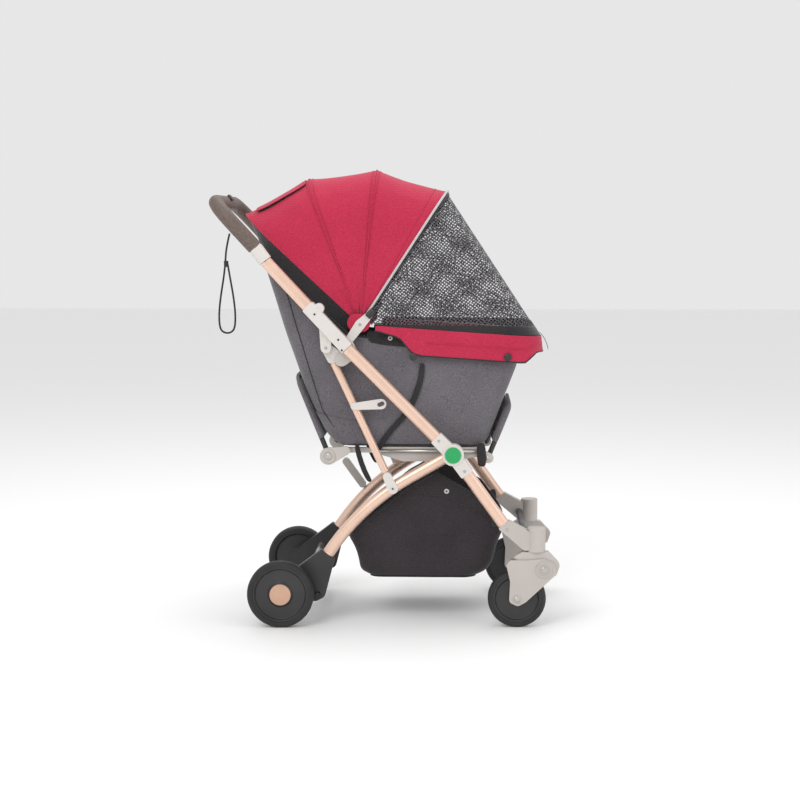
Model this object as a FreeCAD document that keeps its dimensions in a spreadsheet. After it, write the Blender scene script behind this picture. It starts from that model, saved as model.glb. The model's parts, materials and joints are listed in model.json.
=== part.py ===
"""Folding pet stroller: a tube frame with a fold, a fabric cabin, a canopy and four wheels.

Frame: +X forward, +Y to the stroller's left, +Z up, origin on the ground under the middle.
All sizes are millimetres. Right-hand pieces are modelled, and their left twins are mirrored.
"""
import FreeCAD, Part
import math
import os

Vector = FreeCAD.Vector
Rotation = FreeCAD.Rotation
Placement = FreeCAD.Placement

doc = FreeCAD.newDocument("pet_stroller")

# ---------------------------------------------------------------- driving sizes
# Distances "out" are measured sideways from the middle plane.
SIZES = [
    ("hub_x", 158, "cross joint of the frame"),
    ("hub_z", 400, "cross joint of the frame"),
    ("fold_x", -99, "fold pivot of the handle"),
    ("fold_z", 617, "fold pivot of the handle"),
    ("knee_x", -134, "upper strut pivot"),
    ("knee_z", 644, "upper strut pivot"),
    ("heel_x", 19, "lower strut pivot"),
    ("heel_z", 318, "lower strut pivot"),
    ("split_x", -85, "where the upper tube meets the lower tube"),
    ("split_z", 644, "where the upper tube meets the lower tube"),
    ("collar_x", -271, "lower end of the handle collar"),
    ("collar_z", 843, "lower end of the handle collar"),
    ("grip_x", -293, "upper end of the handle collar"),
    ("grip_z", 872, "upper end of the handle collar"),
    ("grip_heading", 132.7, "direction of the handle arms, degrees up from forward"),
    ("grip_reach", 142, "handle arm from the collar to the cross bar"),
    ("grip_radius", 17, "outside of the grip"),
    ("grip_bend", 62, "corner of the handle"),
    ("bar_radius", 12.5, "metal core of the handle"),
    ("bar_wall", 1.5, "metal core of the handle"),
    ("tube_out", 217, "middle of the side tubes"),
    ("tube_wide", 24, "side tube, sideways"),
    ("tube_deep", 28, "side tube, in the side view"),
    ("tube_corner", 11, "side tube corner radius"),
    ("tube_wall", 1.6, "side tube wall"),
    ("fitting_in", 203.5, "inner face of the fittings"),
    ("fitting_wide", 27, "thickness of the fittings"),
    ("fitting_half", 15.5, "half depth of the fittings"),
    ("socket_length", 56, "hub to the tube ends"),
    ("seam_gap", 0.8, "square end of the lower tube to the housing"),
    ("mitre_gap", 1.8, "square end of the upper tube to the tilted collar"),
    ("hub_radius", 25, "round hub"),
    ("hub_proud", 29, "thickness of the round hub"),
    ("cap_radius", 18.5, "round hub cap"),
    ("cap_height", 2.6, "round hub cap"),
    ("front_heading", -54, "front leg, degrees up from forward"),
    ("front_leg_end", 198, "hub to the end of the front leg"),
    ("swivel_x", 350, "caster swivel axis"),
    ("swivel_radius", 21, "caster swivel housing"),
    ("swivel_low", 177, "underside of the swivel housing"),
    ("swivel_high", 233, "top of the swivel housing"),
    ("swivel_pin_radius", 6, "caster swivel pin"),
    ("running_gap", 0.05, "radial clearance of a running fit"),
    ("arm_pivot_x", 368, "suspension pivot"),
    ("arm_pivot_z", 136, "suspension pivot"),
    ("front_wheel_x", 306, "front axle"),
    ("front_wheel_radius", 67, "front wheel"),
    ("front_wheel_wide", 24, "front wheel"),
    ("rear_wheel_x", -239, "rear axle"),
    ("rear_wheel_radius", 77, "rear wheel"),
    ("rear_wheel_in", 222, "inner face of the rear wheel"),
    ("rear_wheel_wide", 30, "rear wheel"),
    ("leg_out", 186, "middle of the rear legs and struts"),
    ("leg_radius", 14, "rear leg tube"),
    ("leg_wall", 1.6, "rear leg tube"),
    ("leg_heading", 210, "rear leg at the hub, degrees up from forward"),
    ("leg_straight", 240.8, "hub to the corner of the rear leg"),
    ("leg_turn", 25, "bend of the rear leg, degrees"),
    ("leg_bend", 560, "radius of the rear leg's bend"),
    ("leg_tail", 142, "corner to the end of the rear leg"),
    ("strut_radius", 9, "strut tube"),
    ("strut_wall", 1.4, "strut tube"),
    ("brake_x", -156, "brake pedal shaft"),
    ("brake_z", 69, "brake pedal shaft"),
    ("cabin_half", 165, "half width of the cabin"),
    ("cabin_wall", 3, "cabin fabric with its stiffener"),
    ("cabin_floor", 410, "underside of the cabin"),
    ("basket_half", 158, "half width of the basket"),
    ("basket_wall", 2.5, "basket fabric"),
    ("canopy_x", -57, "canopy pivot"),
    ("canopy_z", 696, "canopy pivot"),
    ("canopy_radius", 350, "outside of the innermost canopy panel"),
    ("canopy_side", 168, "inner face of the innermost bow"),
    ("canopy_step", 4, "step from one canopy layer to the next"),
    ("canopy_corner", 105, "corner of the canopy seen from the front"),
    ("bow_thick", 2.4, "flat canopy bow"),
    ("bow_wide", 12, "flat canopy bow"),
    ("panel_thick", 1.2, "canopy fabric"),
    ("hoop_half", 140, "half width of the folding hoops"),
    ("hoop_radius", 6, "tube of the folding hoops"),
    ("rear_hinge_x", -133, "rear hoop hinge"),
    ("rear_hinge_z", 387, "rear hoop hinge"),
    ("rear_hoop_reach", 196, "rear hoop"),
    ("rear_hoop_heading", 112, "rear hoop, degrees up from forward"),
    ("front_hinge_x", 240, "front hoop hinge"),
    ("front_hinge_z", 385, "front hoop hinge"),
    ("front_hoop_reach", 128, "front hoop"),
    ("front_hoop_heading", 68, "front hoop, degrees up from forward"),
]

sizes = doc.addObject("Spreadsheet::Sheet", "sizes")
for row, (alias, value, note) in enumerate(SIZES, start=1):
    sizes.set("A%d" % row, alias)
    sizes.set("B%d" % row, str(value))
    sizes.set("C%d" % row, note)
    sizes.setAlias("B%d" % row, alias)
doc.recompute()

made = []


def size(alias):
    """A driving size, read from the sheet."""
    return float(sizes.get(alias))


# ---------------------------------------------------------------- drawing helpers
def heading(degrees):
    """Unit direction in the side view, as (x, z)."""
    angle = math.radians(degrees)
    return math.cos(angle), math.sin(angle)


def along(x, z, degrees, distance, offset=0.0):
    """A point a distance along a heading, offset to the left of it."""
    dx, dz = heading(degrees)
    return x + distance * dx - offset * dz, z + distance * dz + offset * dx


def heading_between(x0, z0, x1, z1):
    """Heading in degrees from one point to another."""
    return math.degrees(math.atan2(z1 - z0, x1 - x0))


def rounded(corners, closed=True):
    """Lines and tangent arcs through corners given as (x, y, radius)."""
    count = len(corners)
    ends = []
    for i, corner in enumerate(corners):
        here = Vector(corner[0], corner[1], 0)
        radius = corner[2] if len(corner) > 2 else 0
        inner = closed or 0 < i < count - 1
        if not radius or not inner:
            ends.append((here, None, here))
            continue
        before = Vector(*corners[i - 1][:2], 0) - here
        after = Vector(*corners[(i + 1) % count][:2], 0) - here
        before.normalize()
        after.normalize()
        half = before.getAngle(after) / 2
        reach = radius / math.tan(half)
        middle = before + after
        middle.normalize()
        crown = here + middle * (radius / math.sin(half) - radius)
        ends.append((here + before * reach, crown, here + after * reach))
    edges = []
    for i, (start, crown, end) in enumerate(ends):
        if crown is not None:
            edges.append(Part.Arc(start, crown, end))
        if i < count - 1 or closed:
            follow = ends[(i + 1) % count][0]
            if end.distanceToPoint(follow) > 1e-6:
                edges.append(Part.LineSegment(end, follow))
    return edges


def circle(x, y, radius):
    """A full circle for a sketch."""
    return [Part.Circle(Vector(x, y, 0), Vector(0, 0, 1), radius)]


def bar_outline(x0, z0, x1, z1, half0, half1=None):
    """A round-ended bar from one centre to another, half0 wide at the first."""
    half1 = half1 or half0
    aim = heading_between(x0, z0, x1, z1)
    span = math.hypot(x1 - x0, z1 - z0)
    lean = math.degrees(math.asin((half0 - half1) / span))
    top, low = aim + 90 - lean, aim - 90 + lean
    start_low = along(x0, z0, low, half0)
    start_back = along(x0, z0, aim + 180, half0)
    start_top = along(x0, z0, top, half0)
    end_top = along(x1, z1, top, half1)
    end_front = along(x1, z1, aim, half1)
    end_low = along(x1, z1, low, half1)
    to_vector = [Vector(*p, 0) for p in (start_low, start_back, start_top, end_top, end_front, end_low)]
    return [
        Part.Arc(to_vector[0], to_vector[1], to_vector[2]),
        Part.LineSegment(to_vector[2], to_vector[3]),
        Part.Arc(to_vector[3], to_vector[4], to_vector[5]),
        Part.LineSegment(to_vector[5], to_vector[0]),
    ]


# ---------------------------------------------------------------- feature helpers
def new_body(label):
    """An empty PartDesign body."""
    body = doc.addObject("PartDesign::Body", label)
    body.Label = label
    return body


def origin_plane(body, role):
    """One of the body's own origin planes."""
    return next(feature for feature in body.Origin.OriginFeatures if feature.Role == role)


def sketch(body, role, edges, offset=None):
    """A sketch on an origin plane of its body, lifted along the plane's normal."""
    number = len(body.Group) + 1
    drawn = body.newObject("Sketcher::SketchObject", "%s_sketch%d" % (body.Label, number))
    drawn.AttachmentSupport = [(origin_plane(body, role), "")]
    drawn.MapMode = "FlatFace"
    if offset is not None:
        drawn.setExpression("AttachmentOffset.Base.z", offset)
    for edge in edges:
        drawn.addGeometry(edge, False)
    return drawn


def pad(body, drawn, length, midplane=False, reversed_pad=False):
    """A pad whose length is bound to the sheet."""
    feature = body.newObject("PartDesign::Pad", "%s_pad%d" % (body.Label, len(body.Group)))
    feature.Profile = drawn
    feature.setExpression("Length", length)
    feature.Midplane = midplane
    feature.Reversed = reversed_pad
    drawn.Visibility = False
    return feature


def pocket(body, drawn, length, midplane=False, reversed_cut=False):
    """A pocket whose depth is bound to the sheet; it has to remove material."""
    doc.recompute()
    before = body.Shape.Volume
    feature = body.newObject("PartDesign::Pocket", "%s_cut%d" % (body.Label, len(body.Group)))
    feature.Profile = drawn
    feature.setExpression("Length", length)
    feature.Midplane = midplane
    feature.Reversed = reversed_cut
    drawn.Visibility = False
    doc.recompute()
    if body.Shape.Volume > before - 1:
        raise ValueError("a pocket in %s removed nothing" % body.Label)
    return feature


def revolution(body, drawn, angle=360.0, axis="V_Axis"):
    """A turned feature about an axis of its sketch."""
    feature = body.newObject("PartDesign::Revolution", "%s_turn%d" % (body.Label, len(body.Group)))
    feature.Profile = drawn
    feature.ReferenceAxis = (drawn, [axis])
    feature.Angle = angle
    drawn.Visibility = False
    return feature


def pipe(body, profile, spine):
    """A section swept along a spine sketch."""
    feature = body.newObject("PartDesign::AdditivePipe", "%s_pipe" % body.Label)
    feature.Profile = profile
    feature.Spine = (spine, ["Edge%d" % (i + 1) for i in range(len(spine.Geometry))])
    feature.Mode = "Frenet"
    profile.Visibility = False
    spine.Visibility = False
    return feature


def soften(body, toward, radius):
    """Round the edges of the flat face that looks furthest toward a local direction."""
    doc.recompute()
    base = body.Tip
    best = None
    for i, face in enumerate(base.Shape.Faces, start=1):
        if face.Surface.TypeId != "Part::GeomPlane":
            continue
        if face.normalAt(0, 0).dot(toward) < 0.99:
            continue
        reach = face.CenterOfMass.dot(toward)
        if best is None or reach > best[0]:
            best = (reach, "Face%d" % i)
    feature = body.newObject("PartDesign::Fillet", "%s_round%d" % (body.Label, len(body.Group)))
    feature.Base = (base, [best[1]])
    for attempt in (radius, radius / 2, radius / 4):
        feature.Radius = attempt
        doc.recompute()
        if not feature.Shape.isNull() and feature.Shape.isValid():
            return
    print("left sharp:", body.Label)
    body.removeObject(feature)
    doc.removeObject(feature.Name)
    body.Tip = base


def place(body, x="0", y="0", z="0", degrees=0.0):
    """Put a body in the frame, its local +X turned up to a heading in the side view."""
    body.Placement = Placement(Vector(0, 0, 0), Rotation(Vector(0, 1, 0), -degrees))
    body.setExpression("Placement.Base.x", x)
    body.setExpression("Placement.Base.y", y)
    body.setExpression("Placement.Base.z", z)
    return body


def keep(thing):
    """List a sub-part for export under its own label."""
    made.append(thing)
    return thing


def mirrored(thing, label):
    """The left twin of a right-hand piece."""
    twin = doc.addObject("Part::Mirroring", label)
    twin.Source = thing
    twin.Base = Vector(0, 0, 0)
    twin.Normal = Vector(0, 1, 0)
    twin.Label = label
    return twin


def two_sides(thing, stem):
    """A right and a left sub-part, each its own node."""
    thing.Label = stem + "_right"
    keep(thing)
    keep(mirrored(thing, stem + "_left"))


def group(label, things):
    """Several separate solids kept as one node."""
    node = doc.addObject("Part::Compound", label)
    node.Links = things
    node.Label = label
    return keep(node)


def pair(thing, label):
    """A right-hand piece and its mirror image as two solids of one node."""
    return group(label, [thing, mirrored(thing, label + "_mirror")])


def side_plate(label, edges, inner, thick):
    """A flat right-hand piece drawn in the side view, from its inner face outwards."""
    body = new_body(label)
    pad(body, sketch(body, "XZ_Plane", edges, inner), thick)
    return body


def pin(label, x, z, inner, length, radius):
    """A right-hand pin across the frame."""
    part = doc.addObject("Part::Cylinder", label)
    part.setExpression("Radius", radius)
    part.setExpression("Height", length)
    part.Placement = Placement(Vector(0, 0, 0), Rotation(Vector(1, 0, 0), 90))
    part.setExpression("Placement.Base.x", x)
    part.setExpression("Placement.Base.y", "-(%s)" % inner)
    part.setExpression("Placement.Base.z", z)
    part.Label = label
    return part


def side_tube(label, x, z, degrees, length):
    """A hollow flat-oval tube of the right side frame, starting at a point."""
    body = new_body(label)
    edges = []
    for inset in (0, size("tube_wall")):
        wide = size("tube_wide") / 2 - inset
        deep = size("tube_deep") / 2 - inset
        corner = size("tube_corner") - inset
        signs = ((-1, -1), (1, -1), (1, 1), (-1, 1))
        edges += rounded([(sx * wide, sy * deep, corner) for sx, sy in signs])
    pad(body, sketch(body, "YZ_Plane", edges), length)
    return place(body, x, "-sizes.tube_out", z, degrees)


def u_pipe(label, start, reach, half, bend, radius, wall=0.0):
    """A U of round tube in the local XY plane: two arms along +X and a cross bar."""
    body = new_body(label)
    path = rounded([(start, -half), (reach, -half, bend), (reach, half, bend), (start, half)], closed=False)
    spine = sketch(body, "XY_Plane", path)
    rings = circle(-half, 0, radius)
    if wall:
        rings += circle(-half, 0, radius - wall)
    section = sketch(body, "YZ_Plane", rings, str(start))
    pipe(body, section, spine)
    return body


def turned(label, profile):
    """A ring or disc turned about its own Y axis from (radius, sideways) corners."""
    body = new_body(label)
    revolution(body, sketch(body, "XY_Plane", rounded(profile)))
    return body


# ---------------------------------------------------------------- side frames
HUB = (size("hub_x"), size("hub_z"))
FOLD = (size("fold_x"), size("fold_z"))
KNEE = (size("knee_x"), size("knee_z"))
HEEL = (size("heel_x"), size("heel_z"))
SPLIT = (size("split_x"), size("split_z"))
COLLAR = (size("collar_x"), size("collar_z"))
GRIP = (size("grip_x"), size("grip_z"))
LOWER_AIM = heading_between(*HUB, *SPLIT)
UPPER_AIM = heading_between(*SPLIT, *COLLAR)


def make_lower_tube():
    """The plain tube from the hub up to the fold."""
    length = math.dist(HUB, SPLIT) - size("socket_length") - size("seam_gap")
    start = along(*HUB, LOWER_AIM, size("socket_length"))
    tube = side_tube("lower_tube", str(start[0]), str(start[1]), LOWER_AIM, str(length))
    two_sides(tube, "lower_tube")


def make_hub():
    """Hub fitting with a socket each way, and its plain round cap."""
    reach = size("socket_length")
    half = size("fitting_half")
    fitting = new_body("hub_fitting_one")
    up_in = along(*HUB, LOWER_AIM, reach, half)
    up_out = along(*HUB, LOWER_AIM, reach, -half)
    down_out = along(*HUB, size("front_heading"), reach, half)
    down_in = along(*HUB, size("front_heading"), reach, -half)
    waist_low = along(*HUB, 220, half * 1.05)
    waist_high = along(*HUB, 40, half * 1.05)
    outline = [(*up_in, 3), (*waist_low, 20), (*down_in, 3), (*down_out, 3), (*waist_high, 20), (*up_out, 3)]
    pad(fitting, sketch(fitting, "XZ_Plane", rounded(outline), "sizes.fitting_in"), "sizes.fitting_wide")
    boss = sketch(fitting, "XZ_Plane", circle(*HUB, size("hub_radius")), "sizes.fitting_in")
    pad(fitting, boss, "sizes.hub_proud")
    soften(fitting, Vector(0, -1, 0), 2)
    pair(fitting, "hub_fittings")
    cap = pin("hub_cap_one", "sizes.hub_x", "sizes.hub_z", "sizes.fitting_in + sizes.hub_proud",
              "sizes.cap_height", "sizes.cap_radius")
    pair(cap, "hub_caps")


def make_front_leg():
    """Front leg tube and the caster housing with its leg socket."""
    aim = size("front_heading")
    start = along(*HUB, aim, size("socket_length"))
    length = size("front_leg_end") - size("socket_length")
    two_sides(side_tube("front_leg", str(start[0]), str(start[1]), aim, str(length)), "front_leg")
    half = size("fitting_half")
    top = along(*HUB, aim, size("front_leg_end"), half)
    low = along(*HUB, aim, size("front_leg_end"), -half)
    housing = new_body("swivel_housing_one")
    socket = [(*top, 3), (345, 218, 0), (345, 180, 0), (322, 180, 6), (*low, 3)]
    pad(housing, sketch(housing, "XZ_Plane", rounded(socket), "sizes.fitting_in"), "sizes.fitting_wide")
    ring = [Part.Circle(Vector(size("swivel_x"), -size("tube_out"), 0), Vector(0, 0, 1), size("swivel_radius"))]
    pad(housing, sketch(housing, "XY_Plane", ring, "sizes.swivel_low"), "sizes.swivel_high - sizes.swivel_low")
    soften(housing, Vector(0, 0, 1), 3)
    bore_radius = size("swivel_pin_radius") + size("running_gap")
    bore = [Part.Circle(Vector(size("swivel_x"), -size("tube_out"), 0), Vector(0, 0, 1), bore_radius)]
    pocket(housing, sketch(housing, "XY_Plane", bore, "sizes.swivel_low"), "46", reversed_cut=True)
    pair(housing, "swivel_housings")
    bar = doc.addObject("Part::Cylinder", "front_cross_bar")
    bar.Radius = 9
    bar.setExpression("Height", "2 * sizes.fitting_in")
    bar.Placement = Placement(Vector(324, size("fitting_in"), 200), Rotation(Vector(1, 0, 0), 90))
    bar.Label = "front_cross_bar"
    keep(bar)


def make_fold_joint():
    """Grey pivot plates on the lower tubes, and the housings that the handle folds with."""
    toward = along(*SPLIT, LOWER_AIM + 180, 20)
    plate = side_plate("fold_plate_one", bar_outline(*FOLD, *toward, 16, 11), "199", "4")
    spacer = sketch(plate, "XZ_Plane", bar_outline(*toward, *along(*toward, LOWER_AIM + 180, 12), 9), "199")
    pad(plate, spacer, "6")
    hole = sketch(plate, "XZ_Plane", circle(*FOLD, 5), "199")
    pocket(plate, hole, "6", reversed_cut=True)
    pair(plate, "fold_plates")
    half = size("fitting_half")
    reach = 132
    low_in = along(*SPLIT, UPPER_AIM, 0, half)
    high_in = along(*SPLIT, UPPER_AIM, reach, half)
    high_out = along(*SPLIT, UPPER_AIM, reach, -half)
    low_out = along(*SPLIT, UPPER_AIM, 0, -half)
    housing = new_body("joint_housing_one")
    corners = [(*low_in, 0), (*high_in, 4), (*high_out, 4), (*low_out, 0)]
    pad(housing, sketch(housing, "XZ_Plane", rounded(corners), "sizes.fitting_in"), "sizes.fitting_wide")
    lobe = along(*SPLIT, UPPER_AIM, reach - 22, -half)
    pad(housing, sketch(housing, "XZ_Plane", circle(*lobe, 12), "205"), "24")
    soften(housing, Vector(0, -1, 0), 2)
    branch_top = along(*SPLIT, UPPER_AIM, 70, half - 12)
    branch = bar_outline(*branch_top, *KNEE, 14, 12)
    pad(housing, sketch(housing, "XZ_Plane", branch, "195"), "17")
    link = bar_outline(*KNEE, *FOLD, 12, 12)
    pad(housing, sketch(housing, "XZ_Plane", link, "195"), "3.6")
    pocket(housing, sketch(housing, "XZ_Plane", circle(*FOLD, 5 + size("running_gap")), "190"), "8.6",
           reversed_cut=True)
    pocket(housing, sketch(housing, "XZ_Plane", circle(*KNEE, 4), "190"), "25", reversed_cut=True)
    pair(housing, "joint_housings")
    length = math.dist(SPLIT, COLLAR) - reach - size("mitre_gap")
    start = along(*SPLIT, UPPER_AIM, reach)
    pair(side_tube("upper_tube_one", str(start[0]), str(start[1]), UPPER_AIM, str(length)), "upper_tubes")
    pair(pin("knee_pin_one", "sizes.knee_x", "sizes.knee_z", "178", "34", "4"), "strut_pivot_pins")


def make_handle():
    """White collars, the metal U of the handle, its stitched grip and the release button."""
    aim = size("grip_heading")
    length = math.dist(COLLAR, GRIP)
    collar = new_body("handle_collar_one")
    base = sketch(collar, "YZ_Plane", rounded([(-14, -16, 11), (14, -16, 11), (14, 16, 11), (-14, 16, 11)]))
    top = sketch(collar, "YZ_Plane", circle(0, 0, size("grip_radius") - 0.5), str(length))
    loft = collar.newObject("PartDesign::AdditiveLoft", "handle_collar_loft")
    loft.Profile = base
    loft.Sections = [top]
    place(collar, "sizes.collar_x", "-sizes.tube_out", "sizes.collar_z", heading_between(*COLLAR, *GRIP))
    pair(collar, "handle_collars")
    names = (("handle_bar", 1.6, size("bar_radius") - size("running_gap"), size("bar_wall")),
             ("handle_grip", 2.4, size("grip_radius"), size("grip_radius") - size("bar_radius")))
    for name, start, radius, wall in names:
        u = u_pipe(name, start, size("grip_reach"), size("tube_out"), size("grip_bend"), radius, wall)
        keep(place(u, "sizes.grip_x", "0", "sizes.grip_z", aim))
    button = new_body("fold_button")
    pad(button, sketch(button, "XY_Plane", rounded([(134, -22, 4), (150, -22, 4), (150, 22, 4), (134, 22, 4)]),
                       "-21"), "3.9")
    keep(place(button, "sizes.grip_x", "0", "sizes.grip_z", aim))


# ---------------------------------------------------------------- struts and rear legs
def make_struts():
    """Thin struts with a pivot eye on top and an open fork over the rear leg."""
    aim = heading_between(*KNEE, *HEEL)
    reach = math.dist(KNEE, HEEL)
    strut = new_body("strut_one")
    rings = circle(0, 0, size("strut_radius")) + circle(0, 0, size("strut_radius") - size("strut_wall"))
    pad(strut, sketch(strut, "YZ_Plane", rings, "40"), str(reach - 40 - 41.3))
    place(strut, "sizes.knee_x", "-sizes.leg_out", "sizes.knee_z", aim)
    pair(strut, "struts")
    eye = side_plate("strut_eye", bar_outline(*KNEE, *along(*KNEE, aim, 29), 12.5, 11), "178", "16")
    pocket(eye, sketch(eye, "XZ_Plane", circle(*KNEE, 4 + size("running_gap")), "170"), "30", reversed_cut=True)
    fork = new_body("strut_fork")
    fork_top = along(*KNEE, aim, reach - 30)
    outline = bar_outline(*fork_top, *HEEL, 10, 12)
    pad(fork, sketch(fork, "XZ_Plane", outline, "200.9"), "1.9")
    pad(fork, sketch(fork, "XZ_Plane", circle(*HEEL, 4.5), "202.8"), "1.2")
    pad(fork, sketch(fork, "XZ_Plane", bar_outline(*along(*fork_top, aim, -2), *along(*fork_top, aim, 1), 9), "177"),
        "24")
    pair_nodes = [eye, mirrored(eye, "strut_eye_mirror"), fork, mirrored(fork, "strut_fork_mirror")]
    group("strut_ends", pair_nodes)
    hook_x, hook_z = along(*KNEE, aim, 150)
    tip = (-8, 514)
    hook = side_plate("storage_hook", bar_outline(hook_x, hook_z, *tip, 8, 12), "195.6", "3")
    pocket(hook, sketch(hook, "XZ_Plane", bar_outline(*along(*tip, 20, -4), *along(*tip, 20, 3), 5), "190"), "12",
           reversed_cut=True)
    keep(hook)


def make_rear_legs():
    """Curved rear legs with a hub eye, end brackets, cross tube and stub axles."""
    leg = new_body("rear_leg")
    turn = size("leg_turn")
    corner = size("leg_straight")
    far = along(corner, 0, turn, size("leg_tail"))
    start = 24
    path = rounded([(start, 0), (corner, 0, size("leg_bend")), far], closed=False)
    spine = sketch(leg, "XZ_Plane", path)
    rings = circle(0, 0, size("leg_radius")) + circle(0, 0, size("leg_radius") - size("leg_wall"))
    pipe(leg, sketch(leg, "YZ_Plane", rings, str(start)), spine)
    place(leg, "sizes.hub_x", "-sizes.leg_out", "sizes.hub_z", size("leg_heading"))
    two_sides(leg, "rear_leg")
    eye_end = along(*HUB, size("leg_heading"), 12)
    eye = side_plate("leg_eye", bar_outline(*HUB, *eye_end, 14, 12), "176", "20")
    pocket(eye, sketch(eye, "XZ_Plane", circle(*HUB, 8 + size("running_gap")), "170"), "32", reversed_cut=True)
    pair(eye, "rear_leg_eyes")
    tail = along(*along(*HUB, size("leg_heading"), corner), size("leg_heading") + turn, size("leg_tail"))
    slope = size("leg_heading") + turn
    left_top = along(*tail, slope, 0, -19)
    right_top = along(*tail, slope, 0, 19)
    outline = [(*left_top, 3), (-256, 92, 14), (-250, 58, 14), (-160, 52, 14), (-140, 62, 14), (*right_top, 3)]
    bracket = side_plate("rear_bracket_one", rounded(outline), "178", "22")
    pocket(bracket, sketch(bracket, "XZ_Plane", circle(size("brake_x"), size("brake_z"), 5.05), "170"), "40",
           reversed_cut=True)
    pocket(bracket, sketch(bracket, "XZ_Plane", circle(-175, 118, 8), "170"), "20", reversed_cut=True)
    soften(bracket, Vector(0, -1, 0), 2)
    pair(bracket, "rear_brackets")
    bar = doc.addObject("Part::Cylinder", "rear_cross_tube_bar")
    bar.Radius = 8
    bar.Height = 2 * 190
    bar.Placement = Placement(Vector(-175, 190, 118), Rotation(Vector(1, 0, 0), 90))
    axle = pin("rear_axle_one", "sizes.rear_wheel_x", "sizes.rear_wheel_radius", "200", "47.7", "5")
    group("rear_axles", [bar, axle, mirrored(axle, "rear_axle_mirror")])
    shaft = doc.addObject("Part::Cylinder", "brake_shaft")
    shaft.Radius = 5
    shaft.Height = 2 * 206
    shaft.Placement = Placement(Vector(size("brake_x"), 206, size("brake_z")), Rotation(Vector(1, 0, 0), 90))
    pedal = new_body("brake_pad")
    shape = [(-151, 76, 3), (-205, 88, 6), (-268, 100, 3), (-268, 93, 3), (-205, 76, 6), (-151, 62, 3)]
    pad(pedal, sketch(pedal, "XZ_Plane", rounded(shape)), "90", midplane=True)
    fused = doc.addObject("Part::MultiFuse", "brake_pedal")
    fused.Shapes = [shaft, pedal]
    fused.Label = "brake_pedal"
    keep(fused)
    post = new_body("fold_catch_post")
    low = (-71.7, 272.8)
    high = (-113, 330)
    pad(post, sketch(post, "XZ_Plane", bar_outline(*low, *high, 9), "-194"), "16")
    keep(post)


def make_wheels():
    """Tyres, dished rims and caps; a rear wheel is drawn outwards from its inner face."""
    rear = size("rear_wheel_radius")
    wide = size("rear_wheel_wide")
    inner = size("rear_wheel_in")
    tyre = [(rear - 13, 0), (rear - 4, 0, 3), (rear, 6, 4), (rear, wide - 6, 4), (rear - 4, wide, 3), (rear - 13, wide)]
    rim = [(5.05, 2), (18, 2, 2), (20, 11, 2), (rear - 20, 11, 3), (rear - 17, 3, 2), (rear - 13, 3),
           (rear - 13, wide - 3), (rear - 17, wide - 3, 2), (rear - 20, wide - 9, 3), (30, wide - 8, 3),
           (26, wide - 4, 2), (5.05, wide - 4)]
    cap = [(0, wide - 4), (24.5, wide - 4), (24.5, wide - 1, 1.2), (10, wide + 1, 20), (0, wide + 1)]
    for stem, profile in (("rear_tyre", tyre), ("rear_rim", rim), ("rear_cap", cap)):
        body = turned(stem, [(p[0], -p[1], *p[2:]) for p in profile])
        place(body, "sizes.rear_wheel_x", "-sizes.rear_wheel_in", "sizes.rear_wheel_radius")
        two_sides(body, stem)
    front = size("front_wheel_radius")
    half = size("front_wheel_wide") / 2
    front_tyre = [(front - 12, -half), (front - 4, -half, 3), (front, -half + 6, 4), (front, half - 6, 4),
                  (front - 4, half, 3), (front - 12, half)]
    front_rim = [(5.05, -half), (12, -half, 2), (14, -6, 2), (front - 19, -5, 3), (front - 16, -half + 2, 2),
                 (front - 12, -half + 2), (front - 12, half - 2), (front - 16, half - 2, 2), (front - 19, 5, 3),
                 (14, 6, 2), (12, half, 2), (5.05, half)]
    for stem, profile in (("front_tyre", front_tyre), ("front_rim", front_rim)):
        body = place(turned(stem, profile), "sizes.front_wheel_x", "-sizes.tube_out", "sizes.front_wheel_radius")
        two_sides(body, stem)


def make_casters():
    """Caster yokes with a swivel pin, and sprung fork arms that hold the front axles."""
    pivot = (size("arm_pivot_x"), size("arm_pivot_z"))
    axle = (size("front_wheel_x"), size("front_wheel_radius"))
    yoke = new_body("caster_yoke")
    outline = [(296, 164, 3), (318, 176.5, 0), (378, 176.5, 4), (405, 148, 10), (396, 122, 8), (380, 116, 10),
               (358, 116, 8), (347, 138, 10), (325, 148, 20)]
    pad(yoke, sketch(yoke, "XZ_Plane", rounded(outline), "204"), "26")
    stem = [Part.Circle(Vector(size("swivel_x"), -size("tube_out"), 0), Vector(0, 0, 1), size("swivel_pin_radius"))]
    pad(yoke, sketch(yoke, "XY_Plane", stem, "176"), "44")
    pocket(yoke, sketch(yoke, "XZ_Plane", circle(*pivot, 5.05), "200"), "40", reversed_cut=True)
    two_sides(yoke, "caster_yoke")
    arm = new_body("fork_arm")
    plate = [(288, 60, 10), (308, 50, 12), (326, 60, 10), (398, 127, 5), (392, 150, 10), (368, 162, 8),
             (330, 158, 8), (290, 158, 4), (281, 147, 3), (290, 108, 12)]
    bridge = [(284, 147, 2), (289, 156, 2), (294, 153, 2), (289, 144, 2)]
    for inner, thick in (("231", "3"), ("200", "3")):
        pad(arm, sketch(arm, "XZ_Plane", rounded(plate), inner), thick)
        if inner == "231":
            pad(arm, sketch(arm, "XZ_Plane", rounded(bridge), "201"), "32")
            pad(arm, sketch(arm, "XZ_Plane", circle(*pivot, 5), "201"), "32")
            pad(arm, sketch(arm, "XZ_Plane", circle(*axle, 5), "201"), "32")
    pad(arm, sketch(arm, "XZ_Plane", circle(*pivot, 19), "234"), "3")
    pad(arm, sketch(arm, "XZ_Plane", circle(*axle, 9), "234"), "2")
    soften(arm, Vector(0, -1, 0), 1)
    two_sides(arm, "fork_arm")


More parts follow.
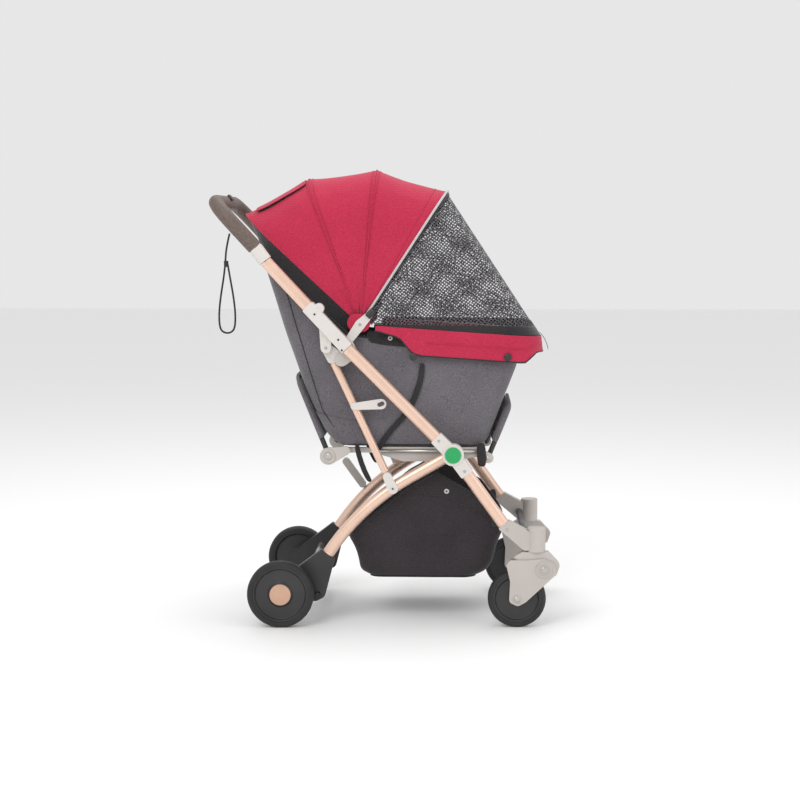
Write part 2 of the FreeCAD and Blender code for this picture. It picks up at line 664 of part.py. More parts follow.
# ---------------------------------------------------------------- seat, cabin and basket
def make_seat():
    """Seat base with side rails, rear rails, hoop hinges and pivot pins."""
    seat = new_body("seat_base")
    flat = [(-20, 409.5, 4), (232, 409.5, 4), (232, 390, 6), (150, 376, 10), (40, 376, 10), (-20, 394, 6)]
    pad(seat, sketch(seat, "XZ_Plane", rounded(flat)), "314", midplane=True)
    under = [(-12, 405.5, 2), (224, 405.5, 2), (224, 360, 0), (-12, 360, 0)]
    pocket(seat, sketch(seat, "XZ_Plane", rounded(under)), "304", midplane=True)
    keep(seat)
    rail = side_plate("rear_rail_one", rounded([(-96, 394, 2), (-20, 394, 0), (-20, 406, 0), (-96, 406, 2)]), "130", "12")
    rear = (size("rear_hinge_x"), size("rear_hinge_z"))
    front = (size("front_hinge_x"), size("front_hinge_z"))
    rear_dial = side_plate("rear_dial", bar_outline(*rear, -92, 400, 20, 10), "150", "8")
    front_dial = side_plate("front_dial", bar_outline(*front, 222, 396, 12, 10), "157.5", "6")
    dials = [rear_dial, mirrored(rear_dial, "rear_dial_mirror"), front_dial, mirrored(front_dial, "front_dial_mirror")]
    rails = [rail, mirrored(rail, "rear_rail_mirror")]
    group("hoop_hinges", dials + rails)
    for stem, hinge, stub in (("rear_hoop", rear, 9.7), ("front_hoop", front, 17.2)):
        reach = size("%s_reach" % stem)
        aim = "%s_heading" % stem
        hoop = u_pipe(stem, 1, reach, size("hoop_half"), 40, size("hoop_radius"), 1.2)
        for offset in (size("hoop_half"), -size("hoop_half") - stub):
            pad(hoop, sketch(hoop, "XZ_Plane", circle(0, 0, 4.5), str(offset)), str(stub))
        keep(place(hoop, str(hinge[0]), "0", str(hinge[1]), size(aim)))
    hub_pin = pin("hub_pin", "sizes.hub_x", "sizes.hub_z", "157", "46.5", "8")
    fold_pin = pin("fold_pin", "sizes.fold_x", "sizes.fold_z", "194.4", "8.6", "5")
    canopy_pin = pin("canopy_pin", "sizes.canopy_x", "sizes.canopy_z", "166", "22", "4")
    pins = [hub_pin, fold_pin, canopy_pin]
    group("pivot_pins", pins + [mirrored(each, each.Label + "_mirror") for each in pins])


def fabric_tub(label, outer, inner, half, wall):
    """An open fabric tub: its outline across the full width, less its inside."""
    body = new_body(label)
    pad(body, sketch(body, "XZ_Plane", rounded(outer)), "2 * sizes.%s" % half, midplane=True)
    hollow = "2 * (sizes.%s - sizes.%s)" % (half, wall)
    pocket(body, sketch(body, "XZ_Plane", rounded(inner)), hollow, midplane=True)
    return keep(body)


def make_soft_goods():
    """Cabin, floor mat, basket and the two webbing straps."""
    floor = size("cabin_floor")
    fabric_tub("cabin",
               [(-100, floor, 20), (-142, 446, 20), (-196, 571, 60), (-282, 832, 10), (-252, 826, 6), (-86, 664, 30),
                (-30, 664, 20), (60, 652, 20), (316, 640, 4), (306, 600, 30), (234, 412, 16), (220, floor, 8)],
               [(-96, floor + 3, 18), (-138, 448, 18), (-192, 572, 58), (-284, 850, 0), (-200, 900, 0),
                (330, 700, 0), (303, 602, 30), (231, 415, 14), (219, floor + 3, 8)],
               "cabin_half", "cabin_wall")
    mat = new_body("floor_mat")
    pad(mat, sketch(mat, "XZ_Plane", rounded([(-96, 414, 8), (216, 414, 8), (216, 436, 8), (-96, 436, 8)])), "296",
        midplane=True)
    keep(mat)
    fabric_tub("basket",
               [(-88, 202, 6), (-62, 112, 14), (-13, 98, 60), (210, 99, 60), (250, 100, 20), (277, 214, 8),
                (225, 290, 40), (116, 352, 8)],
               [(-90, 220, 0), (-85, 201, 5), (-60, 114, 12), (-12, 101, 58), (209, 102, 58), (247, 102, 18),
                (274, 214, 6), (290, 260, 0), (225, 400, 0), (60, 400, 0)],
               "basket_half", "basket_wall")
    webbing = []
    for number, line in enumerate(([(83, 590), (60, 520), (10, 452)], [(-62, 405), (-52, 372), (-30, 330)])):
        for k in range(len(line) - 1):
            run = line[k:k + 2]
            aim = heading_between(*run[0], *run[1])
            corners = [along(*run[0], aim, 0, 7), along(*run[0], aim, 0, -7), along(*run[1], aim, 0, -7),
                       along(*run[1], aim, 0, 7)]
            strap = side_plate("strap%d_%d" % (number, k), rounded(corners), str(165.5 + 1.6 * k), "1.4")
            webbing += [strap, mirrored(strap, strap.Label + "_mirror")]
    group("webbing", webbing)


# ---------------------------------------------------------------- canopy
def canopy_layer(step, front, span, names):
    """A flat U bow and the curved fabric panel behind it, one layer further out per step."""
    lift = step * size("canopy_step")
    side = size("canopy_side") + lift
    top = size("canopy_radius") + lift - size("panel_thick") - 0.2
    corner = size("canopy_corner")
    thick = size("bow_thick")
    bow = new_body(names[0])
    far, near = side + thick, side
    band = rounded([(0, -far), (top, -far, corner), (top, far, corner), (0, far),
                    (0, near), (top - thick, near, corner - thick), (top - thick, -near, corner - thick), (0, -near)])
    pad(bow, sketch(bow, "XY_Plane", band), "sizes.bow_wide", midplane=True)
    for sign in (-1, 1):
        eye = sketch(bow, "XZ_Plane", circle(0, 0, 14), str(side if sign < 0 else -side - thick))
        pad(bow, eye, "sizes.bow_thick")
    pocket(bow, sketch(bow, "XZ_Plane", circle(0, 0, 4.05)), "600", midplane=True)
    place(bow, "sizes.canopy_x", "0", "sizes.canopy_z", front + 1)
    panel = new_body(names[1])
    far = side + thick + 1.4
    near = far - size("panel_thick")
    edge = size("canopy_radius") + lift
    skin = edge - size("panel_thick")
    wall = rounded([(30, -far), (edge, -far, corner + 1.4), (edge, far, corner + 1.4), (30, far),
                    (30, near), (skin, near, corner + 0.2), (skin, -near, corner + 0.2), (30, -near)])
    revolution(panel, sketch(panel, "XY_Plane", wall), span)
    place(panel, "sizes.canopy_x", "0", "sizes.canopy_z", front + span)
    return bow, panel


def make_canopy():
    """Three bows with their panels, the mesh front with its rim wire, and the skirt."""
    for step, front, names in ((0, 110, ("canopy_rear_bow", "canopy_rear_panel")),
                               (1, 84, ("canopy_mid_bow", "canopy_mid_panel")),
                               (2, 57, ("canopy_front_bow", "canopy_front_panel"))):
        for thing in canopy_layer(step, front, 26.5, names):
            keep(thing)
    mesh = new_body("mesh_front")
    pad(mesh, sketch(mesh, "XZ_Plane", rounded([(-12, 700, 0), (138.6, 994.4, 0), (362, 672, 0)])), "364", midplane=True)
    inside = [(-60, 600, 0), (138.2, 1060, 0), (138.2, 992.4, 0), (361, 670, 0), (361, 600, 0)]
    pocket(mesh, sketch(mesh, "XZ_Plane", rounded(inside)), "361.6", midplane=True)
    keep(mesh)
    skirt = new_body("canopy_skirt")
    pad(skirt, sketch(skirt, "XZ_Plane", rounded([(0, 690, 3), (362, 666, 3), (360, 640, 3), (330, 614, 6),
                                                  (70, 606, 6), (42, 645, 6)])), "364", midplane=True)
    pocket(skirt, sketch(skirt, "XZ_Plane", rounded([(-50, 760, 0), (358.5, 760, 0), (358.5, 560, 0), (-50, 560, 0)])),
           "361.6", midplane=True)
    keep(skirt)
    lever = side_plate("canopy_bracket_one", bar_outline(-57, 696, -34, 720, 12, 8), "184", "4")
    pad(lever, sketch(lever, "XZ_Plane", bar_outline(-57, 696, -84, 658, 12, 9), "184"), "4")
    pad(lever, sketch(lever, "XZ_Plane", bar_outline(-84, 658, *along(*SPLIT, LOWER_AIM + 180, 24), 9), "188"), "11")
    pocket(lever, sketch(lever, "XZ_Plane", circle(-57, 696, 4)), "600", midplane=True)
    pair(lever, "canopy_brackets")


# ---------------------------------------------------------------- fasteners and wrist strap
def make_screws():
    """Domed screw heads on the frame fittings."""
    half = size("fitting_half")
    spots = [along(*HUB, LOWER_AIM, 46), along(*HUB, size("front_heading"), 46),
             along(*HUB, size("front_heading"), size("front_leg_end") + 14)]
    heads = []
    for number, (x, z) in enumerate(spots):
        head = doc.addObject("Part::Cone", "screw%d" % number)
        head.Radius1 = 3.6
        head.Radius2 = 2.4
        head.Height = 1.2
        head.Placement = Placement(Vector(x, -size("fitting_in") - size("fitting_wide"), z),
                                   Rotation(Vector(1, 0, 0), 90))
        heads += [head, mirrored(head, "screw%d_mirror" % number)]
    group("frame_screws", heads)


STRAP_ROUTE = [(-352, 905), (-360, 872), (-362, 842), (-366, 806), (-373, 766), (-378, 724), (-376.6, 688.7),
               (-366.3, 678.4), (-351.7, 678.4), (-341.4, 688.7), (-340, 724), (-345, 766), (-352, 806),
               (-357, 836)]


def make_wrist_strap():
    """The wrist strap: straight runs joined by tangent arcs, hanging in the side view."""
    radius = 2.2
    points = [Vector(x, -size("tube_out"), z) for x, z in STRAP_ROUTE]
    edges = []
    last = points[0]
    for before, here, after in zip(points, points[1:], points[2:]):
        back = (before - here)
        ahead = (after - here)
        shorter = min(back.Length, ahead.Length)
        turn = math.pi - back.getAngle(ahead)
        reach = 0.45 * shorter
        back.normalize()
        ahead.normalize()
        start = here + back * reach
        end = here + ahead * reach
        bisector = (back + ahead)
        bisector.normalize()
        arc_radius = reach / math.tan(turn / 2)
        crown = here + bisector * (math.sqrt(arc_radius ** 2 + reach ** 2) - arc_radius)
        edges.append(Part.LineSegment(last, start).toShape())
        edges.append(Part.Arc(start, crown, end).toShape())
        last = end
    edges.append(Part.LineSegment(last, points[-1]).toShape())
    spine = Part.Wire(edges)
    ring = Part.Wire([Part.Circle(points[0], points[1] - points[0], radius).toShape()])
    solid = spine.makePipeShell([ring], True, False)
    print("strap length", round(spine.Length, 1))
    strap = doc.addObject("Part::Feature", "wrist_strap")
    strap.Shape = solid
    strap.Label = "wrist_strap"
    keep(strap)


make_lower_tube()
make_hub()
make_front_leg()
make_fold_joint()
make_handle()
make_struts()
make_rear_legs()
make_wheels()
make_casters()
make_seat()
make_soft_goods()
make_canopy()
make_screws()
make_wrist_strap()
doc.recompute()

# ---------------------------------------------------------------- checks and export
for feature in doc.Objects:
    if "Invalid" in feature.State or "Error" in feature.State:
        raise ValueError("%s did not build" % feature.Label)
for thing in made:
    if thing.Shape.isNull() or not thing.Shape.isValid():
        raise ValueError("%s has no valid shape" % thing.Label)
os.makedirs("parts", exist_ok=True)
for thing in made:
    thing.Shape.exportStep("parts/%s.step" % thing.Label)
box = Part.makeCompound([thing.Shape for thing in made]).BoundBox
print(len(made), "nodes, box", [round(v, 1) for v in (box.XMin, box.XMax, box.YMin, box.YMax, box.ZMin, box.ZMax)])
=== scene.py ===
"""Pet stroller: fabric, trim, materials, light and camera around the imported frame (metres)."""
import bpy
import bmesh
import json
import math
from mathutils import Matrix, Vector, noise


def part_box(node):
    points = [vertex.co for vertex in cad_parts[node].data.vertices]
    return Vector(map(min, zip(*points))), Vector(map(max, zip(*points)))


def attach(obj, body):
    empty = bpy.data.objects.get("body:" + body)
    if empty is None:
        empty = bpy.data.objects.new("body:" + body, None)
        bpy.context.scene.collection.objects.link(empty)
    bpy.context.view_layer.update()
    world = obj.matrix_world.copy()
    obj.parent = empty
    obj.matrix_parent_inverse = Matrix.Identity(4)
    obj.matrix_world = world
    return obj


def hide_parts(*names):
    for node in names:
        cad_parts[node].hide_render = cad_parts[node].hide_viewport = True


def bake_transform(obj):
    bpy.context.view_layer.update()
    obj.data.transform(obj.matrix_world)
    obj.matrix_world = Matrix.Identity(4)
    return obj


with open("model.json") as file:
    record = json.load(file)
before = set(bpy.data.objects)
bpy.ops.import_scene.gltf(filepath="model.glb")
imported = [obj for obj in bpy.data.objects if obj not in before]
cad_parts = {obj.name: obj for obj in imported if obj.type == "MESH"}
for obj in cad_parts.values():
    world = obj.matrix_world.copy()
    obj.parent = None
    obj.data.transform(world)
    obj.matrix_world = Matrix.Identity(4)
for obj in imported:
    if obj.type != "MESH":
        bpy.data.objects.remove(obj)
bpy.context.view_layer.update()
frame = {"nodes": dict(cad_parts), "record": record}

CANOPY = Vector((-0.057, 0.0, 0.696))       # the canopy's pivot, at the middle
FABRIC = 0.0012                             # thickness of plain cloth
REAR_HINGE = (-0.133, 0.387)                # x and z of the rear hoop's hinge
FRONT_HINGE = (0.240, 0.385)                # x and z of the front hoop's hinge

CAMERA_TURN = (1.9, 5.65)                   # azimuth and elevation, degrees
CAMERA_AIM = Vector((0.029, 0.0, 0.504))
CAMERA_DISTANCE = 4.34
CAMERA_LENS = 81
LIGHT_AIM = Vector((0, 0, 0.45))
LIGHTS = (  # name, place, size, power
    ("key", (-1.5, -3.2, 3.0), 2.2, 58),
    ("fill", (3.0, -2.2, 1.6), 3.0, 20),
    ("top", (0.2, 0.8, 3.4), 2.4, 38))


# ---------------------------------------------------------------- camera, floor and light
def make_stage():
    """Side-on camera, pale floor and three soft lights."""
    azimuth, elevation = (math.radians(degrees) for degrees in CAMERA_TURN)
    forward = Vector((-math.sin(azimuth) * math.cos(elevation), math.cos(azimuth) * math.cos(elevation),
                      -math.sin(elevation)))
    camera = bpy.data.objects.new("camera", bpy.data.cameras.new("camera"))
    camera.data.lens = CAMERA_LENS
    camera.data.clip_end = 50
    camera.location = CAMERA_AIM - CAMERA_DISTANCE * forward
    camera.rotation_euler = forward.to_track_quat("-Z", "Y").to_euler()
    bpy.context.scene.collection.objects.link(camera)
    bpy.context.scene.camera = camera
    bpy.ops.mesh.primitive_plane_add(size=30)
    floor = bpy.context.object
    floor.name = "floor"
    floor.data.materials.append(plain("floor_paint", (0.93, 0.93, 0.93), 0.7))
    for name, place, size, power in LIGHTS:
        lamp = bpy.data.objects.new(name, bpy.data.lights.new(name, "AREA"))
        lamp.data.size = size
        lamp.data.energy = power
        lamp.location = place
        lamp.rotation_euler = (LIGHT_AIM - Vector(place)).to_track_quat("-Z", "Y").to_euler()
        bpy.context.scene.collection.objects.link(lamp)
    world = bpy.data.worlds.new("pale_room")
    world.use_nodes = True
    world.node_tree.nodes["Background"].inputs[0].default_value = (1, 1, 1, 1)
    world.node_tree.nodes["Background"].inputs[1].default_value = 0.80
    bpy.context.scene.world = world
    bpy.context.scene.view_settings.view_transform = "Standard"


# ---------------------------------------------------------------- materials
def plain(name, colour, rough):
    """A shader with its constants on its own sockets."""
    material = bpy.data.materials.new(name)
    material.use_nodes = True
    shader = material.node_tree.nodes["Principled BSDF"]
    shader.inputs["Base Color"].default_value = (*colour, 1)
    shader.inputs["Roughness"].default_value = rough
    return material


def node(material, kind, **values):
    """A shader node with some of its inputs set."""
    made = material.node_tree.nodes.new(kind)
    for key, value in values.items():
        if key in made.inputs:
            made.inputs[key].default_value = value
        else:
            setattr(made, key, value)
    return made


def coordinates(material, scale=(1, 1, 1)):
    """Object coordinates, stretched."""
    links = material.node_tree.links
    source = node(material, "ShaderNodeTexCoord")
    stretch = node(material, "ShaderNodeMapping")
    stretch.inputs["Scale"].default_value = scale
    links.new(source.outputs["Object"], stretch.inputs["Vector"])
    return stretch.outputs[0]


def ramp(material, source, stops):
    """A colour ramp over a factor."""
    made = node(material, "ShaderNodeValToRGB")
    while len(made.color_ramp.elements) < len(stops):
        made.color_ramp.elements.new(0.5)
    for element, (position, colour) in zip(made.color_ramp.elements, stops):
        element.position = position
        element.color = (*colour, 1)
    material.node_tree.links.new(source, made.inputs[0])
    return made.outputs[0]


def bump(material, height, strength, distance):
    """Surface relief from a height."""
    made = node(material, "ShaderNodeBump", Strength=strength, Distance=distance)
    links = material.node_tree.links
    links.new(height, made.inputs["Height"])
    shader = material.node_tree.nodes["Principled BSDF"]
    links.new(made.outputs[0], shader.inputs["Normal"])


def noise_of(material, scale, stretch=(1, 1, 1), detail=4.0):
    """Noise in object space."""
    made = node(material, "ShaderNodeTexNoise", Scale=scale, Detail=detail)
    material.node_tree.links.new(coordinates(material, stretch), made.inputs["Vector"])
    return made.outputs["Fac"]


def weave_of(material, threads):
    """Height of a weave from waves along the three axes; threads is their frequency in radians a metre."""
    links = material.node_tree.links
    total = None
    for axis in "XYZ":
        wave = node(material, "ShaderNodeTexWave", bands_direction=axis, Scale=threads / 20, Distortion=0.6)
        wave.inputs["Detail"].default_value = 1.0
        links.new(coordinates(material), wave.inputs["Vector"])
        if total is None:
            total = wave.outputs["Fac"]
            continue
        join = node(material, "ShaderNodeMath", operation="MULTIPLY" if axis == "Z" else "ADD")
        links.new(total, join.inputs[0])
        links.new(wave.outputs["Fac"], join.inputs[1])
        total = join.outputs[0]
    return total


def fabric(name, dark, light, threads=700, heather=1200.0, rough=0.85, sheen=0.25, relief=0.0005):
    """Woven cloth: slubby colour, thread relief and a soft sheen."""
    material = plain(name, light, rough)
    shader = material.node_tree.nodes["Principled BSDF"]
    shader.inputs["Sheen Weight"].default_value = sheen
    shader.inputs["Specular IOR Level"].default_value = 0.25
    slubs = noise_of(material, heather, (1, 1, 0.35), 2.0)
    cloud = noise_of(material, 9.0)
    mix = node(material, "ShaderNodeMath", operation="MULTIPLY_ADD")
    mix.inputs[1].default_value = 0.3
    material.node_tree.links.new(cloud, mix.inputs[0])
    material.node_tree.links.new(slubs, mix.inputs[2])
    colour = ramp(material, mix.outputs[0], ((0.42, dark), (0.86, light)))
    material.node_tree.links.new(colour, shader.inputs["Base Color"])
    bump(material, weave_of(material, threads), 0.5, relief)
    return material


def moulded(name, colour, rough=0.45, grain=900.0, shade=0.88, relief=0.2):
    """Moulded plastic: fine grain, slight colour and gloss variation."""
    material = plain(name, colour, rough)
    shader = material.node_tree.nodes["Principled BSDF"]
    dark = tuple(c * shade for c in colour)
    tint = ramp(material, noise_of(material, 14.0), ((0.3, dark), (0.7, colour)))
    material.node_tree.links.new(tint, shader.inputs["Base Color"])
    patches = noise_of(material, 22.0, detail=1.0)
    gloss = ramp(material, patches, ((0.3, (rough - 0.07,) * 3), (0.7, (rough + 0.07,) * 3)))
    material.node_tree.links.new(gloss, shader.inputs["Roughness"])
    if relief:
        bump(material, noise_of(material, grain, detail=2.0), relief, 0.0002)
    return material


def metal(name, colour, rough, metallic=0.85, shade=0.85):
    """Lacquered metal with slight colour and gloss variation."""
    material = moulded(name, colour, rough, 0.0, shade, 0)
    shader = material.node_tree.nodes["Principled BSDF"]
    shader.inputs["Metallic"].default_value = metallic
    shader.inputs["Coat Weight"].default_value = 0.25
    shader.inputs["Coat Roughness"].default_value = 0.2
    return material


def mesh_cloth(name):
    """Open mesh: dark strands round scattered see-through holes, laid out in metres on the cloth."""
    material = plain(name, (0.10, 0.095, 0.105), 0.8)
    shader = material.node_tree.nodes["Principled BSDF"]
    links = material.node_tree.links
    flat = node(material, "ShaderNodeUVMap", uv_map="cloth")
    turn = node(material, "ShaderNodeMapping")
    turn.inputs["Rotation"].default_value = (0, 0, math.radians(38))
    turn.inputs["Scale"].default_value = (150, 172, 1)
    links.new(flat.outputs[0], turn.inputs["Vector"])
    cells = node(material, "ShaderNodeTexVoronoi", voronoi_dimensions="2D", Scale=1.0, Randomness=0.32)
    links.new(turn.outputs[0], cells.inputs["Vector"])
    yarn = noise_of(material, 420.0, (1, 1, 1), 3.0)
    colour = ramp(material, yarn, ((0.3, (0.035, 0.032, 0.037)), (0.7, (0.105, 0.098, 0.108))))
    links.new(colour, shader.inputs["Base Color"])
    holes = ramp(material, cells.outputs["Distance"], ((0.30, (0.0,) * 3), (0.40, (1.0,) * 3)))
    links.new(holes, shader.inputs["Alpha"])
    bump(material, cells.outputs["Distance"], 0.4, 0.0006)
    return material


def leather(name):
    """Grained brown grip with mottled colour."""
    material = plain(name, (0.12, 0.085, 0.065), 0.55)
    shader = material.node_tree.nodes["Principled BSDF"]
    mottle = noise_of(material, 420.0, (0.5, 0.5, 0.5), 3.0)
    browns = ((0.25, (0.090, 0.063, 0.052)), (0.5, (0.125, 0.090, 0.075)), (0.8, (0.165, 0.122, 0.103)))
    colour = ramp(material, mottle, browns)
    material.node_tree.links.new(colour, shader.inputs["Base Color"])
    cells = node(material, "ShaderNodeTexVoronoi", Scale=650.0)
    material.node_tree.links.new(coordinates(material), cells.inputs["Vector"])
    bump(material, cells.outputs["Distance"], 0.5, 0.0004)
    return material


LOOKS = {
    "rose_gold": lambda n: metal(n, (0.80, 0.56, 0.44), 0.30, 0.5, 0.95),
    "cap_gold": lambda n: metal(n, (0.60, 0.37, 0.26), 0.38, 0.5, 0.9),
    "white_plastic": lambda n: moulded(n, (0.66, 0.62, 0.59), 0.42, shade=0.95),
    "warm_grey_plastic": lambda n: moulded(n, (0.50, 0.46, 0.43), 0.45, shade=0.93),
    "black_plastic": lambda n: moulded(n, (0.030, 0.028, 0.029), 0.42, shade=0.7),
    "tyre": lambda n: moulded(n, (0.018, 0.0165, 0.017), 0.62, 500.0, 0.7),
    "steel": lambda n: metal(n, (0.55, 0.53, 0.5), 0.3, 1.0),
    "handle_aluminium": lambda n: metal(n, (0.7, 0.7, 0.7), 0.3, 1.0),
    "brown_grip": leather,
    "green_cap": lambda n: moulded(n, (0.012, 0.36, 0.10), 0.28, 300.0, 0.9),
    "black_steel": lambda n: metal(n, (0.03, 0.03, 0.03), 0.4, 0.4),
    "heather_fabric": lambda n: fabric(n, (0.050, 0.045, 0.052), (0.195, 0.180, 0.200), 800),
    "mat_fabric": lambda n: fabric(n, (0.03, 0.028, 0.032), (0.13, 0.12, 0.13), 600),
    "basket_fabric": lambda n: fabric(n, (0.014, 0.011, 0.013), (0.048, 0.040, 0.045), 900, sheen=0.15),
    "crimson_fabric": lambda n: fabric(n, (0.38, 0.014, 0.048), (0.53, 0.030, 0.078), 1100, 700.0,
                                       sheen=0.12),
    "mesh_fabric": mesh_cloth,
    "webbing_fabric": lambda n: fabric(n, (0.010, 0.010, 0.011), (0.045, 0.043, 0.046), 1500, sheen=0.1),
}
materials = {name: make("look_" + name) for name, make in LOOKS.items()}
materials["piping"] = fabric("look_piping", (0.38, 0.37, 0.37), (0.62, 0.60, 0.60), 1800)
materials["dark_lining"] = fabric("look_dark_lining", (0.010, 0.009, 0.010), (0.035, 0.033, 0.035), 900)
make_stage()


def dress_frame():
    """Give every carried-over CAD piece the material of its slot."""
    slots = {part["node"]: part["material_slot"] for part in frame["record"]["subparts"]}
    for name, thing in frame["nodes"].items():
        things = thing if isinstance(thing, (list, tuple)) else [thing]
        for each in things:
            each = bpy.data.objects[each] if isinstance(each, str) else each
            for slot in each.material_slots:
                slot.material = materials[slots[name]]
            if not each.material_slots:
                each.data.materials.append(materials[slots[name]])


dress_frame()


# ---------------------------------------------------------------- mesh helpers
def finished(name, mesh, look, body, smooth=True, levels=0, thick=0.0):
    """A piece with its material, on its body."""
    thing = bpy.data.objects.new(name, mesh)
    bpy.context.scene.collection.objects.link(thing)
    mesh.materials.append(materials[look])
    if smooth:
        for face in mesh.polygons:
            face.use_smooth = True
    if thick:
        solid = thing.modifiers.new("cloth_thickness", "SOLIDIFY")
        solid.thickness = thick
        solid.offset = 0
    if levels:
        subdivision = thing.modifiers.new("smooth", "SUBSURF")
        subdivision.levels = levels
        subdivision.render_levels = levels
    if body:
        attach(thing, body)
    return thing


def grid(name, rows, look, body, closed=False, thick=FABRIC, levels=1, flip=False):
    """A sheet through rows of points, optionally closed round each row."""
    count = len(rows[0])
    points = [point for row in rows for point in row]
    faces = []
    for i in range(len(rows) - 1):
        for j in range(count if closed else count - 1):
            k = (j + 1) % count
            face = (i * count + j, i * count + k, (i + 1) * count + k, (i + 1) * count + j)
            faces.append(face[::-1] if flip else face)
    mesh = bpy.data.meshes.new(name)
    mesh.from_pydata([tuple(p) for p in points], [], faces)
    mesh.update()
    return finished(name, mesh, look, body, levels=levels, thick=thick)


def ribbon(name, points, across, width, look, body, thick=0.0014):
    """A flat strap through points, built as a thin sheet; across is its sideways direction."""
    across = Vector(across).normalized()
    points = [Vector(p) for p in points]
    rows = [[p - across * width / 2, p, p + across * width / 2] for p in points]
    strap = grid(name, rows, look, body, thick=thick, levels=1)
    return strap


def tube(name, points, radius, look, body, closed=False):
    """A thin round tube, such as a seam, a cord or piping, through points."""
    mesh = bpy.data.meshes.new(name)
    build = bmesh.new()
    rings = []
    sides = 8
    points = [Vector(p) for p in points]
    last = None
    for i, here in enumerate(points):
        before = points[i - 1] if i or closed else here
        after = points[(i + 1) % len(points)] if i < len(points) - 1 or closed else here
        aim = (after - before).normalized()
        if last is None:
            last = aim.orthogonal().normalized()
        last = (last - aim * last.dot(aim)).normalized()
        other = aim.cross(last)
        turns = [2 * math.pi * k / sides for k in range(sides)]
        places = [here + radius * (math.cos(a) * last + math.sin(a) * other) for a in turns]
        rings.append([build.verts.new(place) for place in places])
    for i in range(len(rings) - (0 if closed else 1)):
        follow = rings[(i + 1) % len(rings)]
        for k in range(sides):
            n = (k + 1) % sides
            build.faces.new((rings[i][k], rings[i][n], follow[n], follow[k]))
    if not closed:
        build.faces.new(rings[0][::-1])
        build.faces.new(rings[-1])
    bmesh.ops.recalc_face_normals(build, faces=build.faces)
    build.to_mesh(mesh)
    build.free()
    return finished(name, mesh, look, body)


def disc(name, centre, radius, height, look, body, outward=-1, hole=0.0):
    """A turned button, eyelet or cap facing sideways."""
    profile = [(hole, 0), (hole, height * 0.7), (hole + 0.3 * (radius - hole), height),
               (radius * 0.93, height), (radius, height * 0.6), (radius, 0)]
    mesh = bpy.data.meshes.new(name)
    build = bmesh.new()
    sides = 28
    rings = []
    for k in range(sides):
        a = 2 * math.pi * k / sides
        places = [Vector((r * math.cos(a), outward * h, r * math.sin(a))) for r, h in profile]
        rings.append([build.verts.new(Vector(centre) + place) for place in places])
    for k in range(sides):
        follow = rings[(k + 1) % sides]
        for i in range(len(profile)):
            n = (i + 1) % len(profile)
            if hole == 0 and i == len(profile) - 1:
                continue
            build.faces.new((rings[k][i], rings[k][n], follow[n], follow[i]))
    bmesh.ops.remove_doubles(build, verts=build.verts, dist=1e-6)
    bmesh.ops.recalc_face_normals(build, faces=build.faces)
    build.to_mesh(mesh)
    build.free()
    return finished(name, mesh, look, body)


def lerp(a, b, w):
    """Straight mix of two values or vectors."""
    return a + (b - a) * w


# ---------------------------------------------------------------- canopy
def bow_point(angle, radius, side, corner, u):
    """A point on a U bow: u from 0 at the right pivot to 1 at the left pivot."""
    straight = radius - corner
    arc = math.pi / 2 * corner
    top = 2 * (side - corner)
    s = u * (2 * straight + 2 * arc + top)
    mirror = 1
    if s > straight + arc + top / 2:
        s = 2 * straight + 2 * arc + top - s
        mirror = -1
    if s < straight:
        r, y = s, -side
    elif s < straight + arc:
        t = (s - straight) / corner
        r, y = straight + corner * math.sin(t), -side + corner * (1 - math.cos(t))
    else:
        r, y = radius, -side + corner + (s - straight - arc)
    return CANOPY + Vector((math.cos(angle) * r, mirror * y, math.sin(angle) * r))


BOW_STEPS = 60
BOWS = {"rear_edge": (137, 0.372, 0.1720), "rear": (110.5, 0.357, 0.1735), "mid": (84.5, 0.3565, 0.1775),
        "front": (57.0, 0.364, 0.1810), "rim": (-3.9, 0.419, 0.181)}     # degrees, radius, half width
NEXT_BOWS = {"rear": ("rear_edge", "mid"), "mid": ("rear", "front")}


def bow(name, u, proud=0.0):
    """A point of a named bow line, moved out from the cabin by proud."""
    degrees, radius, side = BOWS[name]
    return bow_point(math.radians(degrees), radius + proud, side + proud, 0.105 if name != "rim" else 0.07, u)


def panel_point(rear, front, u, w, proud=0.0):
    """A point of the cloth between two bows, sagging a little with soft folds, and moved out by proud."""
    point = lerp(bow(rear, u), bow(front, u), w)
    away = (point - CANOPY).normalized()
    side = Vector((0, math.copysign(1, point.y), 0)) if abs(point.y) > 0.15 else away
    hump = math.sin(math.pi * min(1.0, max(0.0, w)))
    near_side = max(0.0, 1 - abs(abs(point.y) - 0.172) / 0.05)
    reach = min(1.0, max(0.0, ((point - CANOPY).length - 0.09) / 0.16))
    droop = 0.0045 * hump * reach
    fold = 0.0016 * noise.noise(Vector((point.x * 16, point.y * 9, point.z * 16 + w)))
    fold += 0.0010 * near_side * math.sin(w * 9 + point.z * 40) * hump
    fold += 0.0005 * noise.noise(point * 60.0)
    return point + side * (proud - droop + fold * hump ** 0.5)


def canopy_panel(name, rear, front, body):
    """Fabric stretched between two bows."""
    rows = []
    for i in range(17):
        rows.append([panel_point(rear, front, 0.022 + 0.956 * j / 90, i / 16) for j in range(91)])
    return grid(name, rows, "crimson_fabric", body)


def bow_line(name, proud, low=0.05, high=0.95):
    """Points along a bow, for seams and piping."""
    return [bow(name, lerp(low, high, j / BOW_STEPS), proud) for j in range(BOW_STEPS + 1)]


